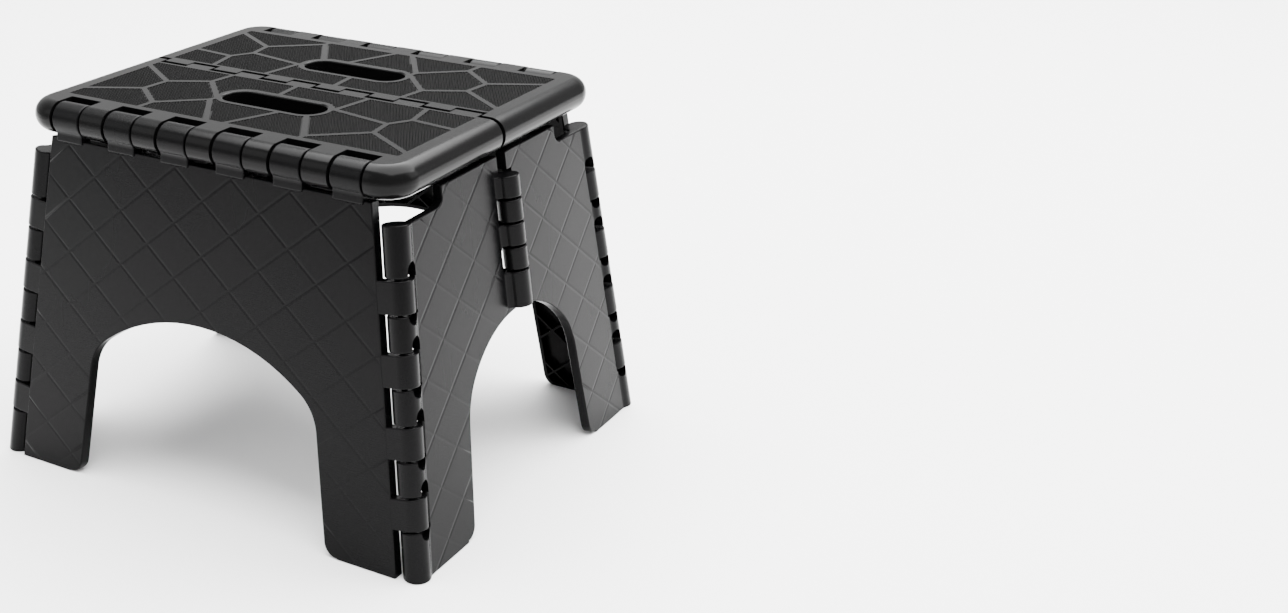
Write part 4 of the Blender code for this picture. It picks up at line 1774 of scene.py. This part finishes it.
class Finish(Enum):
    """The finishes of the mouldings."""

    SATIN = MouldedPlastic(
        "satin_polypropylene", Slot.SATIN, (0.0014, 0.0014, 0.0015),
        roughness=0.26, cloud=0.14, pit_depth=0.000010, specular=0.060,
    )
    SMOOTH = MouldedPlastic(
        "smooth_polypropylene", Slot.TEXTURED, (0.0016, 0.0016, 0.0016),
        roughness=0.20, cloud=0.08, pit_depth=0.000006, specular=0.070,
    )
    # The studded patches get a much darker colour than the smooth top, though they are the same plastic:
    # painted shade for the shadowed recesses round the studs and the duller reflection of the textured
    # patches.
    GRIP = MouldedPlastic(
        "studded_polypropylene_painted_shade", Slot.TEXTURED, (0.0004, 0.0004, 0.0004),
        roughness=0.34, cloud=0.06, pit_depth=0.000010, specular=0.030,
    )
    GLOSS = MouldedPlastic(
        "polished_polypropylene", Slot.GLOSS, (0.0012, 0.0012, 0.0012),
        roughness=0.20, cloud=0.06, pit_depth=0.000006, specular=0.25,
    )


@dataclass(frozen=True)
class PalePaint:
    """The plain pale floor."""

    colour: Tuple[float, float, float] = (0.86, 0.86, 0.86)
    roughness: float = 0.9

    def build(self) -> bpy.types.Material:
        """Build the material.

        Returns:
            The material.
        """
        paint = bpy.data.materials.new("pale_floor")
        paint.use_nodes = True
        shader = paint.node_tree.nodes["Principled BSDF"]
        shader.inputs["Base Color"].default_value = (*self.colour, 1.0)
        shader.inputs["Roughness"].default_value = self.roughness
        return paint


@dataclass(frozen=True)
class Lamp:
    """One square soft light that points at the stool; power is in watts."""

    name: str
    place: Tuple[float, float, float]
    size: float
    power: float
    target: Tuple[float, float, float] = (0.0, 0.0, 0.1)

    def hang(self) -> None:
        """Add the light to the scene."""
        leave_edit()
        turn = (Vector(self.target) - Vector(self.place)).to_track_quat("-Z", "Y").to_euler()
        bpy.ops.object.light_add(type="AREA", location=self.place, rotation=turn)
        lamp = bpy.context.object
        lamp.name = self.name
        lamp.data.shape = "SQUARE"
        lamp.data.size = self.size
        lamp.data.energy = self.power


@dataclass
class Studio:
    """The floor, the soft lights and the camera."""

    azimuth: float = math.radians(30.94)
    elevation: float = math.radians(23.37)
    lens: float = 46.8
    place: Tuple[float, float, float] = (0.5835, -0.7900, 0.5048)
    shift: Point = (0.1332, 0.0012)
    floor_half: float = 4.0
    floor_level: float = -0.0004
    surround: float = 1.35
    lamps: Tuple[Lamp, ...] = (
        Lamp("overhead", (0.1, 0.6, 2.4), 3.8, 640.0),
        Lamp("right_side", (1.9, 1.2, 1.2), 1.4, 25.0),
        Lamp("left_front", (-1.2, -1.4, 1.2), 1.0, 6.0),
    )

    def set_floor(self) -> None:
        """Lay the pale floor."""
        leave_edit()
        bpy.ops.mesh.primitive_plane_add(size=2 * self.floor_half, location=(0, 0, self.floor_level))
        floor = bpy.context.object
        floor.name = "floor"
        floor.data.materials.append(PalePaint().build())

    def set_lights(self) -> None:
        """Hang the soft lights and set a pale surround."""
        world = bpy.data.worlds.new("surround")
        world.use_nodes = True
        sky = world.node_tree.nodes["Background"]
        sky.inputs["Color"].default_value = (1.0, 1.0, 1.0, 1.0)
        sky.inputs["Strength"].default_value = self.surround
        bpy.context.scene.world = world
        for lamp in self.lamps:
            lamp.hang()

    def set_camera(self) -> None:
        """Set the camera at its place, looking along its azimuth and elevation."""
        back = Vector((
            math.sin(self.azimuth) * math.cos(self.elevation),
            -math.cos(self.azimuth) * math.cos(self.elevation),
            math.sin(self.elevation),
        ))
        leave_edit()
        turn = (-back).to_track_quat("-Z", "Y").to_euler()
        bpy.ops.object.camera_add(location=self.place, rotation=turn)
        camera = bpy.context.object
        camera.name = "camera"
        camera.data.lens = self.lens
        camera.data.sensor_width = 36.0
        camera.data.shift_x, camera.data.shift_y = self.shift
        bpy.context.scene.camera = camera


@dataclass
class PinPlan:
    """The nine hinge pins: how far each one runs along its axis, and its body."""

    layout: Layout
    seam_half: float = 0.1155
    top_half: float = 0.118
    corner_span: Point = (0.008, 0.188)
    middle_span: Point = (0.119, 0.1925)

    def pins(self) -> List[Tuple[HingePin, str]]:
        """Return each pin with the body that it rides on.

        Returns:
            The pins and their bodies.
        """
        level = Vector((0, 0, self.layout.seam_z))
        across = Vector((self.seam_half, 0, 0))
        made = [self.pin("centre_seam", "front_top", level - across, level + across)]
        for y, stem, body in ((-1, "front_top", "front_leg"), (1, "back_top", "back_top")):
            middle = Vector((0, y * self.layout.top_pin_y, self.layout.top_pin_z))
            ends = [middle - Vector((self.top_half, 0, 0)), middle + Vector((self.top_half, 0, 0))]
            made.append(self.pin(stem, body, *ends))
        side = SidePanel(self.layout, Lattice(), 1)
        for hand, corners in HANDS:
            flip = Vector((1, hand, 1))
            for corner, turn in zip(corners, Side):
                place, body = turn.turn() @ self.layout.side_place(hand), corner + "_side"
                ends = [place @ (side.corner(height) * flip) for height in self.corner_span]
                made.append(self.pin(corner + "_corner", body, *ends))
                if hand > 0:
                    ends = [place @ side.middle(height) for height in self.middle_span]
                    made.append(self.pin(corner.split("_")[0] + "_middle", body, *ends))
        return made

    @staticmethod
    def pin(stem: str, body: str, start: Vector, end: Vector) -> Tuple[HingePin, str]:
        """Return one pin with its body."""
        return HingePin(stem + "_hinge_pin", stem + "_pin", start, end), body


class Assembly:
    """Puts each piece on the frame: its finish, its body and the node it stands for."""

    def __init__(self, layout: Layout, lattice: Lattice) -> None:
        """Build the finishes.

        Args:
            layout: Where the hinges are.
            lattice: The crossed ribs of every panel.
        """
        self.layout, self.lattice = layout, lattice
        grain, marks = moulded_grain(), handling_marks()
        self.finishes = {finish: finish.value.build(grain, marks) for finish in Finish}

    def add(self, item: Item, name: str, finish: Finish, body: str, nodes: Sequence[str]) -> None:
        """Finish a modelled piece and put it on its body.

        Args:
            item: The piece, in place.
            name: Its name.
            finish: Its finish.
            body: The body that it rides on.
            nodes: The CAD nodes that it stands for.
        """
        item.name = name
        item.data.name = name
        item.data.materials.clear()
        item.data.materials.append(self.finishes[finish])
        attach(item, body)
        for node in nodes:
            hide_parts(node)
        item.data.calc_loop_triangles()
        LOG.info("%s: %d triangles on %s", name, len(item.data.loop_triangles), body)

    def add_legs(self) -> None:
        """Model the two leg panels: one moulding, used twice."""
        place = self.layout.leg_place()
        leg = settle(LegPanel(self.layout, self.lattice).model(), place)
        trim_floor(leg)
        sharpen_sinks(leg, place.to_3x3() @ Vector((0, -1, 0)))
        for item, side in zip(used_twice(leg), Side):
            name = side.value + "_leg"
            self.add(polish(item), name, Finish.SATIN, name, [name + "_panel"])

    def add_sides(self) -> None:
        """Model the four side panels: two mouldings, each used twice."""
        for hand, corners in HANDS:
            place = self.layout.side_place(hand)
            half = settle(SidePanel(self.layout, self.lattice, hand).model(), place)
            trim_floor(half)
            sharpen_sinks(half, place.to_3x3() @ Vector((1, 0, 0)))
            for item, corner in zip(used_twice(half), corners):
                body = corner + "_side"
                self.add(polish(item), corner + "_half", Finish.SATIN, body, [body + "_panel"])

    def add_step(self) -> None:
        """Model the two plates of the step and their studs."""
        plate = StepPlate(self.layout)
        lift = Matrix.Translation((0, 0, self.layout.seam_z))
        step = settle(plate.model(), lift)
        studs = settle(GripField(plate).model(), lift)
        for side, top, grip in zip(Side, used_twice(step), used_twice(studs)):
            name, body = side.value + "_step", side.value + "_top"
            self.add(polish(top), name, Finish.SMOOTH, body, [body + "_plate"])
            self.add(grip, name + "_grip", Finish.GRIP, body, [])

    def add_pins(self) -> None:
        """Model the nine hinge pins."""
        for pin, body in PinPlan(self.layout).pins():
            self.add(polish(pin.model()), pin.name, Finish.GLOSS, body, [pin.node])


def main() -> None:
    """Build the stool's looks piece by piece."""
    logging.basicConfig(level=logging.INFO, format="%(name)s: %(message)s")
    studio = Studio()
    studio.set_camera()
    assembly = Assembly(Layout.from_frame(), Lattice())
    assembly.add_legs()
    assembly.add_sides()
    assembly.add_step()
    assembly.add_pins()
    studio.set_floor()
    studio.set_lights()


if __name__ == "__main__":
    main()
